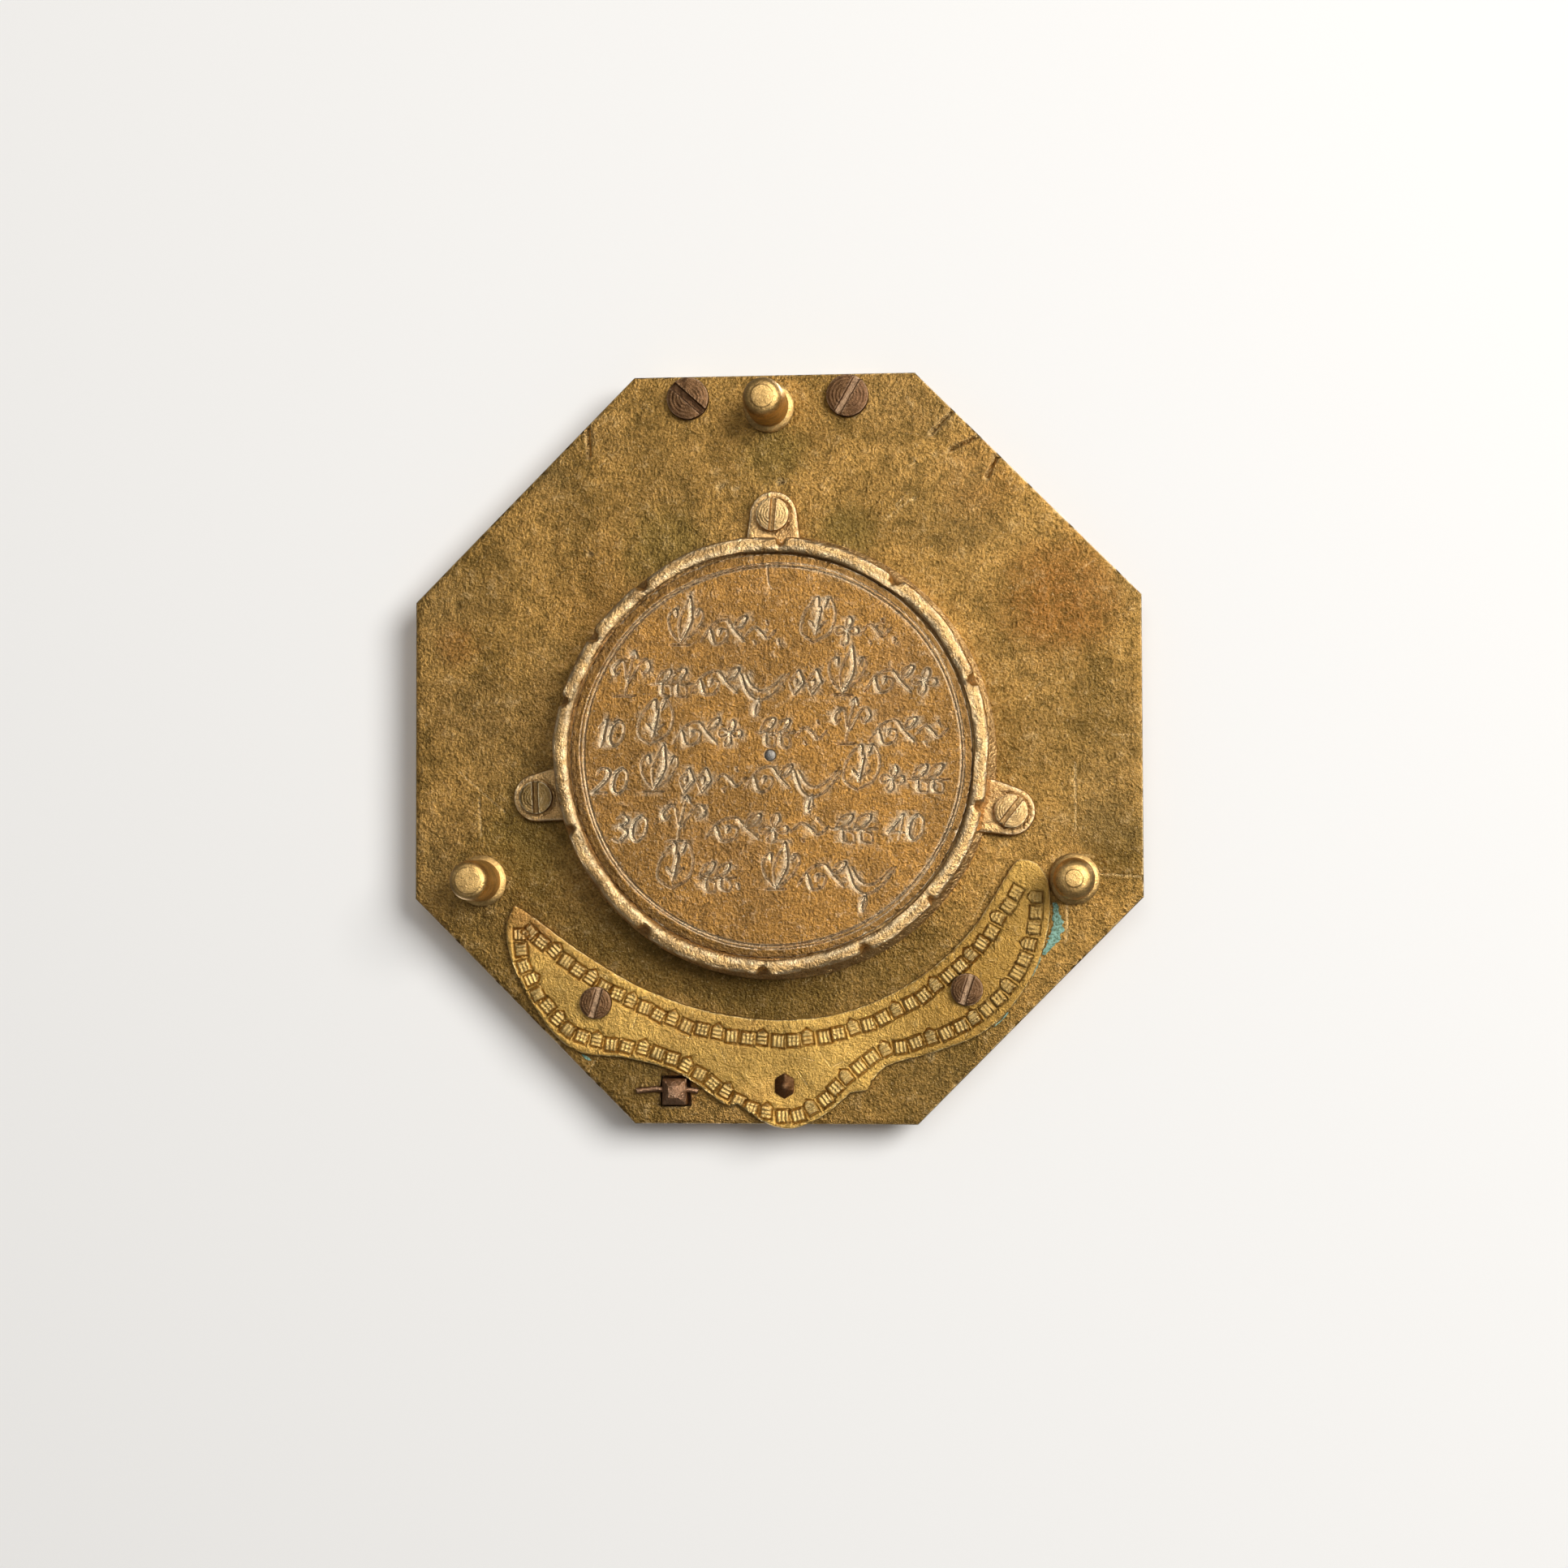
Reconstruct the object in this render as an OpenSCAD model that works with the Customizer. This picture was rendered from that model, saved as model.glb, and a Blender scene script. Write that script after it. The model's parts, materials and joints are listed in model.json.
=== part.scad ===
// Folding universal equinoctial pocket sundial with an octagonal base.
// The dial stands on its three feet: +Z is up, +Y is north (hour ring hinge), +X is east.
// The origin is the bottom centre, on the surface that the feet stand on.
// The dial is drawn folded, with the hour ring, arc, gnomon and plummet stand lying flat.

/* [Base plate] */
// North to south size of the octagonal plate
plate_len = 62; // [60:0.5:64]
// East to west size of the octagonal plate
plate_w = 60.4; // [59:0.2:62]
// Half length of the north and south edges
plate_edge_n = 11.7; // [11:0.1:12.5]
// Half length of the east and west edges
plate_edge_e = 12.4; // [11.5:0.1:13]
// Thickness of the plate
plate_t = 1.5; // [1.2:0.1:1.8]
// Radius of the round window over the compass
window_r = 14.2; // [13:0.1:14.2]

/* [Feet] */
// Height of the three feet below the plate
foot_h = 6; // [5.5:0.1:7]
// Radius of a foot's barrel
foot_r = 1.72; // [1.5:0.01:1.9]
// Radius of the collar at the top of a foot
foot_collar_r = 2.1; // [2:0.05:2.3]
// Radius of the riveted shank that holds a foot in the plate
foot_shank_r = 0.9; // [0.7:0.05:1]
// North foot, distance east of the centre line
foot_n_x = 0.4; // [-0.5:0.1:0.6]
// North foot, distance north of the centre
foot_n_y = 28.3; // [28:0.1:28.6]
// East and west feet, distance from the centre line
foot_s_x = 24.55; // [24:0.05:25]
// East and west feet, place along the north line
foot_s_y = -10.9; // [-12:0.1:-10]

/* [Compass box] */
// Place of the compass centre along the north line
compass_y = -0.8; // [-1:0.1:-0.5]
// Outer radius of the crimped lip
lip_r = 17.85; // [17.5:0.05:18]
// Radius of the flange that meets the plate
flange_r = 18.3; // [18.1:0.05:18.5]
// Depth of the box below the plate
box_h = 4.3; // [4.2:0.1:4.5]
// Radius of the engraved bottom disc
bottom_r = 16.45; // [16.2:0.05:16.6]
// Distance from the compass centre to the lug screws
lug_pitch_r = 20; // [19.8:0.1:20.4]
// Radius of a lug's round end
lug_r = 2; // [1.8:0.1:2.2]
// Radius of the window glass
glass_r = 16.1; // [15.8:0.05:16.15]
// Length of the compass needle
needle_len = 25; // [20:0.5:26]

/* [Crescent] */
// Thickness of the crescent spring
crescent_t = 0.8; // [0.6:0.1:1]

/* [Hour ring] */
// Outer radius of the hour ring
ring_r = 24.4; // [24:0.1:24.6]
// Inner radius of the hour ring
ring_bore_r = 19.4; // [19.2:0.1:20]
// Thickness of the hour ring
ring_t = 1.2; // [1:0.1:1.2]
// Place of the ring hinge along the north line
hinge_y = 27.5; // [27.3:0.1:27.7]
// Height of the ring hinge above the plate
hinge_h = 1.5; // [1.5:0.05:1.6]
// Distance from the ring hinge to the centre of the hours
ring_reach = 27; // [26.8:0.1:27.2]
// Length of the gnomon from its pin
gnomon_len = 12; // [9:0.5:14]

/* [Latitude arc] */
// Inner radius of the arc about the ring hinge
arc_r0 = 20; // [19.8:0.1:20.2]
// Outer radius of the arc about the ring hinge
arc_r1 = 24; // [23.5:0.1:24.2]
// Angle at the end of the arc, counted from the plate
arc_end = 62; // [55:1:63]
// Thickness of the arc
arc_t = 0.9; // [0.8:0.1:1]
// Place of the arc hinge along the east line
arc_x = -14; // [-14.1:0.1:-13.9]

/* [Plummet stand] */
// Length of the folding arm between its pin and the hook
arm_len = 20; // [16:0.5:20]
// Thickness of the arm
arm_t = 1; // [0.8:0.1:1]
// Height of the arm's pin above the plate
arm_h = 1.7; // [1.7:0.05:1.8]
// Radius of the plumb bob
bob_r = 1.35; // [1:0.05:1.4]
// Distance from the hook to the tip of the bob
bob_reach = 9; // [8:0.5:9]

/* [Fits] */
// Radial clearance of a part that turns on a pin
run_gap = 0.05; // [0.03:0.01:0.08]
// Side clearance of a knuckle between its ears
side_gap = 0.08; // [0.05:0.01:0.1]

/* [Hidden] */
$fn = 72;

// A hair more than a face, for cuts that pass through it
cut = 0.5;

// Heights of the plate
plate_z0 = foot_h;
plate_z1 = foot_h + plate_t;

// Rounding at the end of a foot: radius of its flat and height of its curve
foot_flat_r = 0.75;
foot_round_h = 0.95;

// Colours
bronze = [0.44, 0.34, 0.17];
warm_bronze = [0.60, 0.43, 0.22];
yellow_brass = [0.72, 0.56, 0.26];
gold_brass = [0.84, 0.68, 0.34];
dark_copper = [0.33, 0.22, 0.15];
steel = [0.45, 0.46, 0.48];
card_white = [0.87, 0.84, 0.74];
clear_glass = [0.80, 0.88, 0.88, 0.35];

// Screws: [head radius, head height, shank radius]
hinge_screw = [1.75, 0.85, 0.75];
lug_screw = [1.37, 0.85, 0.7];
crescent_screw = [1.32, 0.75, 0.65];
slot_w = 0.42;
slot_d = 0.4;

// Compass box levels, counted down from the plate
box_z0 = plate_z0 - box_h;
bottom_z0 = box_z0 + 0.35;
bottom_z1 = bottom_z0 + 0.75;
glass_z0 = plate_z0 - 1;
glass_gap = 0.02;
glass_ring_r = 0.44;
lug_t = 1;
card_t = 0.3;
lug_angles = [90, -9.3, 193.2];
lug_slots = [95, 88, 128];
hinge_slots = [120, 42];
cavity_r = 15.6;
notch_angles = [93, 126, 160, 194, 222, 244, 272, 306, 340, 15, 34, 53];
notch_size = [0.9, 0.9, 1.1];
pivot_r = 0.45;
needle_z = bottom_z1 + 1.15;
needle_t = 0.2;
needle_cap_r = 0.8;
ring_split = 0.4;

// Ring hinge
hinge_z = plate_z1 + hinge_h;
hinge_x = 0.5;
hinge_knuckle_r = 1.4;
hinge_pin_r = 0.6;
ring_knuckle_w = 9.8;
pedestal_w = 4.4;
block_w = ring_knuckle_w + 2 * side_gap + 2 * pedestal_w;
hinge_screw_x = 6.65;
hinge_screw_y = 29.1;
hinge_screw_depth = 1.9;
block_y1 = 30.9;
block_web_h = 1.1;

// Hour ring
ring_y = hinge_y - ring_reach;
ring_z0 = hinge_z - ring_t / 2;
bridge_w = 2.2;
bridge_lap = 0.6;
bridge_end_r = 22;
bridge_rivet_x = 20.8;
bridge_rivet_r = 0.45;
hub_w = 5;
hub_len = 3.6;
gnomon_slot = 1.7;
gnomon_boss_r = 1.2;
gnomon_pin_r = 0.42;
spring_len = 8.4;
spring_w = 1.2;
spring_t = 0.2;
spring_drop = 0.72;
spring_x0 = -0.6;
spring_seat = 3.4;
index_w = 1.2;

// Latitude arc
arc_mid_r = (arc_r0 + arc_r1) / 2;
arc_pin_r = 0.4;
arc_knuckle_r = 1;
arc_knuckle_y = 10;
arc_knuckle_w = 1.4;
arc_ear_w = 1.3;
arc_start = 4;
arc_foot_z0 = 1.25;
arc_foot_h = 1.3;
arc_foot_y1 = 12;
arc_rivets = [[-15.2, 7.9], [-12.5, 11.4]];
arc_foot_plate = [[-16, 7.3], [4.2, 5.1, 0.4]];
arc_rivet_r = 0.5;
arc_knob_r = 0.9;

// Plummet stand
stand_x = 8.3;
stand_y = -28.3;
arm_z = plate_z1 + arm_h;
arm_knuckle_r = 1.15;
arm_ear_t = 0.8;
arm_pin_r = 0.45;
tang_w = 2;
tang_l = 2.15;
tang_hole = 2.5;
tang_tip = 0.5;
tang_z0 = plate_z0 - 1.5;
bracket_foot = [3.6, 3.8];
cotter_r = 0.25;
cotter_len = 5.2;
cotter_y = 0.15;
cotter_z = plate_z0 - 0.45;
hook_r = 0.4;
bob_y = -25.85;
bob_len = 5.4;
link_r = 0.3;
link_eye_r = 0.9;
link_eye_w = 0.6;
bob_hole = 0.6;
rest_x = -0.8;
rest_y = -27.8;
rest_shank = [1, 1.2];
rest_post = [1.6, 2.6, 1.5];
rest_fork_z = 0.6;
rest_tip = 0.75;

// Crescent spring
crescent_z0 = plate_z0 - crescent_t;
crescent_screw_at = [[14.8, -21], [-15.8, -19.9]];
crescent_slots = [106, 108];

// Outline of the crescent: the outer edge from the east tip round the hump to the west tip,
// then the inner edge back. A point given twice is a corner.
crescent_outer = [
    [21.9, -13.4], [22.4, -15.2], [21.6, -18.4], [18.9, -23], [16.2, -25.1], [12.2, -25.6], [7.9, -26.85],
    [4.2, -29.3], [3.1, -29.3], [3.1, -29.3], [0.9, -30.8], [-1.4, -31.3], [-3.9, -30.3],
    [-6.2, -28.4], [-6.2, -28.4], [-7.5, -28.2], [-7.5, -28.2], [-9.2, -26.2], [-12.9, -25.1],
    [-17.3, -23.3], [-20.4, -20], [-22.2, -16], [-22.6, -12], [-21.8, -9.9]
];
crescent_inner = [
    [-20.4, -9.3], [-19.4, -10], [-16.2, -15], [-11.9, -18.9], [-6.3, -21.6], [-0.5, -22.4],
    [5.5, -21.7], [10.9, -19.8], [15.8, -17], [21, -13.3]
];
crescent_points = concat(crescent_outer, crescent_inner);
curve_steps = 5;

// A smooth curve through four points, between the two middle ones
function curve_at(a, b, c, d, t) = 0.5 * (
    2 * b + (c - a) * t + (2 * a - 5 * b + 4 * c - d) * t * t + (3 * b - a - 3 * c + d) * t * t * t
);

// A closed smooth outline through a list of points
function smooth_outline(p, steps) = [
    for (i = [0 : len(p) - 1])
        let (n = len(p), a = p[(i + n - 1) % n], b = p[i], c = p[(i + 1) % n], d = p[(i + 2) % n])
            if (b != c)
                for (s = [0 : steps - 1])
                    curve_at(a, b, c, d, s / steps)
];

// Arm outline: half width and height of its centre line at a share t of its length
function arm_half(t) = 0.78 - 0.28 * t;
function arm_rise(t) = 0.38 * sin(360 * t);

// A slotted screw whose shank points up from the underside of its head
module slotted_screw(screw, shank_len, slot_angle) {
    difference() {
        translate([0, 0, -screw[1]])
            cylinder(r = screw[0], h = screw[1]);
        rotate(slot_angle)
            translate([-screw[0] - cut, -slot_w / 2, -screw[1] - cut])
                cube([2 * screw[0] + 2 * cut, slot_w, slot_d + cut]);
    }
    cylinder(r = screw[2], h = shank_len);
}

module octagon() {
    polygon([
        [plate_edge_n, plate_len / 2], [-plate_edge_n, plate_len / 2],
        [-plate_w / 2, plate_edge_e], [-plate_w / 2, -plate_edge_e],
        [-plate_edge_n, -plate_len / 2], [plate_edge_n, -plate_len / 2],
        [plate_w / 2, -plate_edge_e], [plate_w / 2, plate_edge_e]
    ]);
}

module at_lug(angle) {
    translate([0, compass_y, 0])
        rotate(angle)
            translate([lug_pitch_r, 0, 0])
                children();
}

// Round holes and the square hole that go through the plate
module plate_holes() {
    translate([0, compass_y, 0])
        cylinder(r = window_r, h = plate_t + 2 * cut);
    for (p = [[foot_n_x, foot_n_y], [foot_s_x, foot_s_y], [-foot_s_x, foot_s_y]])
        translate(p)
            cylinder(r = foot_shank_r, h = plate_t + 2 * cut);
    for (side = [-1, 1])
        translate([hinge_x + side * hinge_screw_x, hinge_screw_y, 0])
            cylinder(r = hinge_screw[2], h = plate_t + 2 * cut);
    for (angle = lug_angles)
        at_lug(angle)
            cylinder(r = lug_screw[2], h = plate_t + 2 * cut);
    for (p = crescent_screw_at)
        translate(p)
            cylinder(r = crescent_screw[2], h = plate_t + 2 * cut);
    for (p = arc_rivets)
        translate(p)
            cylinder(r = arc_rivet_r, h = plate_t + 2 * cut);
    translate([rest_x - rest_shank[0] / 2, rest_y - rest_shank[1] / 2, 0])
        cube([rest_shank[0], rest_shank[1], plate_t + 2 * cut]);
    translate([stand_x - tang_hole / 2, stand_y - tang_hole / 2, 0])
        cube([tang_hole, tang_hole, plate_t + 2 * cut]);
}

module base_plate() {
    color(bronze)
        difference() {
            translate([0, 0, plate_z0])
                linear_extrude(plate_t)
                    octagon();
            translate([0, 0, plate_z0 - cut])
                plate_holes();
        }
}

// A turned foot, hanging from the plate with its shank riveted flush on top
module foot(p) {
    color(gold_brass)
        translate(p)
            rotate_extrude()
                polygon(concat(
                    [[0, 0]],
                    [
                        for (a = [0 : 15 : 90])
                            [foot_flat_r + (foot_r - foot_flat_r) * sin(a), foot_round_h * (1 - cos(a))]
                    ],
                    [
                        [foot_r, foot_h - 0.8], [foot_r - 0.12, foot_h - 0.55], [foot_collar_r, foot_h - 0.4],
                        [foot_collar_r, foot_h], [foot_shank_r, foot_h], [foot_shank_r, foot_h + plate_t],
                        [0, foot_h + plate_t]
                    ]
                ));
}

module foot_north() foot([foot_n_x, foot_n_y]);
module foot_east() foot([foot_s_x, foot_s_y]);
module foot_west() foot([-foot_s_x, foot_s_y]);

// Cup of the compass: crimped lip, waisted wall, flange and three lugs
module compass_box() {
    color(warm_bronze)
        difference() {
            union() {
                translate([0, compass_y, 0])
                    rotate_extrude()
                        polygon([
                            [lip_r - 0.45, box_z0], [lip_r - 0.1, box_z0 + 0.1], [lip_r, box_z0 + 0.4],
                            [lip_r - 0.1, box_z0 + 0.9], [lip_r - 0.55, box_z0 + 1.5],
                            [lip_r - 0.65, box_z0 + 2.2], [lip_r - 0.5, box_z0 + 2.9],
                            [lip_r - 0.1, box_z0 + 3.4], [flange_r, box_z0 + 3.7], [flange_r, plate_z0],
                            [glass_r, plate_z0], [glass_r, glass_z0], [cavity_r, glass_z0],
                            [cavity_r, bottom_z1], [bottom_r + 0.3, bottom_z1],
                            [bottom_r + 0.45, box_z0 + 0.15]
                        ]);
                for (angle = lug_angles)
                    at_lug(angle)
                        translate([0, 0, plate_z0 - lug_t])
                            linear_extrude(lug_t)
                                union() {
                                    circle(r = lug_r);
                                    translate([-lug_r - 0.6, -lug_r])
                                        square([lug_r + 0.6, 2 * lug_r]);
                                }
            }
            for (angle = lug_angles)
                at_lug(angle)
                    translate([0, 0, plate_z0 - lug_t - cut])
                        cylinder(r = lug_screw[2], h = lug_t + 2 * cut);
            for (angle = notch_angles)
                translate([0, compass_y, box_z0])
                    rotate(angle)
                        translate([lip_r + 0.15, 0, 0])
                            rotate(45)
                                cube(notch_size, center = true);
        }
}

// Loose round bottom of the box, held by the crimped lip
module compass_box_bottom() {
    color(warm_bronze)
        translate([0, compass_y, bottom_z0])
            difference() {
                cylinder(r = bottom_r, h = bottom_z1 - bottom_z0);
                translate([0, 0, -cut])
                    cylinder(r = pivot_r, h = bottom_z1 - bottom_z0 + 2 * cut);
            }
}

module compass_card() {
    color(card_white)
        translate([0, compass_y, bottom_z1])
            difference() {
                cylinder(r = cavity_r - 0.1, h = card_t);
                translate([0, 0, -cut])
                    cylinder(r = pivot_r, h = card_t + 2 * cut);
            }
}

module compass_glass() {
    color(clear_glass)
        translate([0, compass_y, glass_z0])
            cylinder(r = glass_r - glass_gap, h = plate_z0 - glass_z0 - glass_gap);
}

// Split ring sprung into the window on top of the glass
module glass_ring() {
    color(gold_brass)
        translate([0, compass_y, plate_z0])
            difference() {
                rotate_extrude()
                    translate([window_r - glass_ring_r - glass_gap, glass_ring_r])
                        circle(r = glass_ring_r, $fn = 32);
                translate([0, -window_r, glass_ring_r])
                    cube([ring_split, 3, 2], center = true);
            }
}

module needle_pivot() {
    color(steel)
        translate([0, compass_y, 0])
            rotate_extrude()
                polygon([
                    [0, bottom_z0 - 0.12], [pivot_r - 0.07, bottom_z0 - 0.05], [pivot_r, bottom_z0],
                    [pivot_r, bottom_z1 + card_t], [1, bottom_z1 + card_t], [1, bottom_z1 + card_t + 0.2],
                    [0.3, bottom_z1 + card_t + 0.35], [0.2, needle_z - 0.1], [0, needle_z + 0.25]
                ]);
}

// Flat steel needle with an arrow at its north end
module compass_needle() {
    half = needle_len / 2;
    color(steel)
        translate([0, compass_y, needle_z])
            linear_extrude(needle_t)
                difference() {
                    polygon([
                        [0, half], [-1.1, half - 3], [-0.35, half - 2.4], [-0.75, 1.2], [-1.2, 0],
                        [-0.75, -1.2], [-0.35, -half + 2], [-0.6, -half], [0.6, -half], [0.35, -half + 2],
                        [0.75, -1.2], [1.2, 0], [0.75, 1.2], [0.35, half - 2.4], [1.1, half - 3]
                    ]);
                    circle(r = needle_cap_r);
                }
}

// Brass cap with a conical cavity that rides on the pivot's point
module needle_cap() {
    color(gold_brass)
        translate([0, compass_y, needle_z])
            rotate_extrude()
                polygon([
                    [0.45, -0.35], [needle_cap_r, -0.35], [needle_cap_r, 0], [needle_cap_r, needle_t],
                    [1.05, needle_t], [0.95, 0.4], [0.4, 0.62], [0, 0.66], [0, 0.36]
                ]);
}

module box_lug_screws() {
    color(yellow_brass)
        for (i = [0 : len(lug_angles) - 1])
            at_lug(lug_angles[i])
                translate([0, 0, plate_z0 - lug_t])
                    slotted_screw(lug_screw, lug_t + plate_t, lug_slots[i] - lug_angles[i]);
}

module along_x(length) {
    rotate([0, 90, 0])
        translate([0, 0, -length / 2])
            children();
}

module along_y(length) {
    rotate([90, 0, 0])
        translate([0, 0, -length / 2])
            children();
}

// Two pedestals on one foot plate, screwed on from below
module ring_hinge_block() {
    rear_y = hinge_y + hinge_knuckle_r + 0.15;
    color(bronze)
        difference() {
            union() {
                for (side = [-1, 1])
                    translate([hinge_x + side * (block_w - pedestal_w) / 2, hinge_y, hinge_z])
                        along_x(pedestal_w)
                            cylinder(r = hinge_knuckle_r, h = pedestal_w);
                for (side = [-1, 1])
                    translate([
                        hinge_x + side * (block_w - pedestal_w) / 2 - pedestal_w / 2,
                        hinge_y - hinge_knuckle_r, plate_z1
                    ])
                        cube([pedestal_w, block_y1 - hinge_y + hinge_knuckle_r, hinge_h]);
                for (side = [-1, 1])
                    translate([
                        hinge_x + side * (block_w - pedestal_w) / 2 - pedestal_w / 2, hinge_y, hinge_z - 0.1
                    ])
                        cube([pedestal_w, block_y1 - hinge_y, hinge_knuckle_r - 0.3]);
                translate([hinge_x - block_w / 2 + 1, rear_y, plate_z1])
                    cube([block_w - 2, block_y1 - rear_y, block_web_h]);
            }
            translate([hinge_x, hinge_y, hinge_z])
                along_x(block_w + 2)
                    cylinder(r = hinge_pin_r, h = block_w + 2);
            for (side = [-1, 1])
                translate([hinge_x + side * hinge_screw_x, hinge_screw_y, plate_z1 - cut])
                    cylinder(r = hinge_screw[2], h = hinge_screw_depth + cut);
        }
}

module ring_hinge_screws() {
    color(dark_copper)
        for (i = [0, 1])
            translate([hinge_x + (2 * i - 1) * hinge_screw_x, hinge_screw_y, plate_z0])
                slotted_screw(hinge_screw, plate_t + hinge_screw_depth, hinge_slots[i]);
}

module ring_hinge_pin() {
    color(steel)
        translate([hinge_x, hinge_y, hinge_z])
            along_x(block_w)
                cylinder(r = hinge_pin_r, h = block_w);
}

// Annular hour ring with its hinge knuckle and the index that reads the latitude arc
module hour_ring() {
    index_x0 = arc_x - arc_t / 2 - 0.1;
    color(yellow_brass)
        difference() {
            union() {
                difference() {
                    translate([0, ring_y, ring_z0])
                        cylinder(r = ring_r, h = ring_t);
                    translate([0, ring_y, ring_z0 - cut])
                        cylinder(r = ring_bore_r, h = ring_t + 2 * cut);
                }
                translate([-ring_bore_r, hinge_y - arc_mid_r - index_w / 2, ring_z0])
                    cube([index_x0 + ring_bore_r, index_w, ring_t]);
                translate([hinge_x - ring_knuckle_w / 2, ring_y + ring_r - 1, ring_z0])
                    cube([ring_knuckle_w, hinge_y - ring_y - ring_r + 1, ring_t]);
                translate([hinge_x, hinge_y, hinge_z])
                    along_x(ring_knuckle_w)
                        cylinder(r = hinge_knuckle_r, h = ring_knuckle_w);
            }
            translate([hinge_x, hinge_y, hinge_z])
                along_x(ring_knuckle_w + 2)
                    cylinder(r = hinge_pin_r + run_gap, h = ring_knuckle_w + 2);
            translate([0, ring_y, ring_z0])
                cube([2 * bridge_end_r, bridge_w, 2 * bridge_lap], center = true);
            for (side = [-1, 1])
                translate([side * bridge_rivet_x, ring_y, ring_z0 - cut])
                    cylinder(r = bridge_rivet_r, h = ring_t + 2 * cut);
        }
}

// Bar across the hour ring, halved into its underside, with a slotted hub for the gnomon
module gnomon_bridge() {
    color(yellow_brass)
        difference() {
            union() {
                translate([-bridge_end_r, ring_y - bridge_w / 2, ring_z0])
                    cube([2 * bridge_end_r, bridge_w, bridge_lap]);
                translate([-ring_bore_r + 0.15, ring_y - bridge_w / 2, ring_z0])
                    cube([2 * ring_bore_r - 0.3, bridge_w, ring_t]);
                translate([-hub_w / 2, ring_y - hub_len / 2, ring_z0])
                    cube([hub_w, hub_len, ring_t]);
            }
            translate([-gnomon_slot / 2, ring_y - hub_len / 2 - cut, ring_z0 - cut])
                cube([gnomon_slot, hub_len / 2 + cut + gnomon_boss_r + 0.1, ring_t + 2 * cut]);
            translate([0, ring_y, hinge_z])
                along_x(hub_w + 2)
                    cylinder(r = gnomon_pin_r, h = hub_w + 2);
            for (side = [-1, 1])
                translate([side * bridge_rivet_x, ring_y, ring_z0 - cut])
                    cylinder(r = bridge_rivet_r, h = ring_t + 2 * cut);
        }
}

module bridge_rivets() {
    color(dark_copper)
        for (side = [-1, 1])
            translate([side * bridge_rivet_x, ring_y, ring_z0])
                cylinder(r = bridge_rivet_r, h = ring_t);
}

module gnomon_pin() {
    color(steel)
        translate([0, ring_y, hinge_z])
            along_x(hub_w)
                cylinder(r = gnomon_pin_r, h = hub_w);
}

// Leaf spring on the bridge's underside that steadies the gnomon's boss
module gnomon_spring() {
    color(steel)
        translate([spring_x0, ring_y - spring_w / 2, ring_z0 - spring_drop])
            difference() {
                cube([spring_len, spring_w, spring_drop]);
                translate([-cut, -cut, spring_t])
                    cube([cut + spring_len - spring_seat, spring_w + 2 * cut, spring_drop]);
            }
}

// Pointed rod that casts the shadow, lying south of its pin
module gnomon() {
    boss_w = gnomon_slot - 2 * side_gap;
    color(steel)
        translate([0, ring_y, hinge_z])
            difference() {
                union() {
                    along_x(boss_w)
                        cylinder(r = gnomon_boss_r - 0.15, h = boss_w);
                    rotate([90, 0, 0])
                        rotate_extrude()
                            polygon([
                                [0, 0], [0.55, 0], [0.55, 2.2], [0.42, 2.6], [0.3, gnomon_len - 1.5],
                                [0.05, gnomon_len], [0, gnomon_len]
                            ]);
                }
                along_x(boss_w + 2)
                    cylinder(r = gnomon_pin_r + run_gap, h = boss_w + 2);
            }
}

// Hinge ears of the latitude arc on a small foot plate
module arc_hinge_block() {
    arc_ear_y = (arc_knuckle_w + 2 * side_gap + arc_ear_w) / 2;
    color(bronze)
        difference() {
            union() {
                translate([arc_foot_plate[0][0], arc_foot_plate[0][1], plate_z1])
                    cube(arc_foot_plate[1]);
                for (side = [-1, 1])
                    translate([arc_x, arc_knuckle_y + side * arc_ear_y, 0]) {
                        translate([-arc_knuckle_r, -arc_ear_w / 2, plate_z1])
                            cube([2 * arc_knuckle_r, arc_ear_w, hinge_h]);
                        translate([0, 0, hinge_z])
                            along_y(arc_ear_w)
                                cylinder(r = arc_knuckle_r, h = arc_ear_w);
                    }
            }
            translate([arc_x, arc_knuckle_y, hinge_z])
                along_y(6)
                    cylinder(r = arc_pin_r, h = 6);
            for (p = arc_rivets)
                translate([p[0], p[1], plate_z1 - cut])
                    cylinder(r = arc_rivet_r, h = arc_foot_plate[1][2] + cut);
        }
}

module arc_hinge_rivets() {
    color(dark_copper)
        for (p = arc_rivets)
            translate([p[0], p[1], plate_z0])
                cylinder(r = arc_rivet_r, h = plate_t + arc_foot_plate[1][2]);
}

module arc_hinge_pin() {
    pin_len = arc_knuckle_w + 2 * side_gap + 2 * arc_ear_w;
    color(steel)
        translate([arc_x, arc_knuckle_y, hinge_z])
            along_y(pin_len)
                cylinder(r = arc_pin_r, h = pin_len);
}

// Outline of the arc in its own plane: x runs up from the hinge, y is north
module arc_outline() {
    start_r = [for (a = [arc_start : 2 : arc_end]) a];
    band = concat(
        [for (a = start_r) [arc_r1 * sin(a), hinge_y - arc_r1 * cos(a)]],
        [for (i = [len(start_r) - 1 : -1 : 0]) [arc_r0 * sin(start_r[i]), hinge_y - arc_r0 * cos(start_r[i])]]
    );
    polygon(band);
    translate([arc_foot_z0, hinge_y - arc_r1 + 0.1])
        square([arc_foot_h, arc_foot_y1 - hinge_y + arc_r1 - 0.1]);
    translate([0, arc_knuckle_y - arc_knuckle_w / 2])
        square([arc_foot_z0 + 0.2, arc_knuckle_w]);
    translate([arc_r0 * sin(arc_end) + 0.6, hinge_y - arc_r0 * cos(arc_end) - 0.3])
        circle(r = arc_knob_r, $fn = 36);
}

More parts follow.
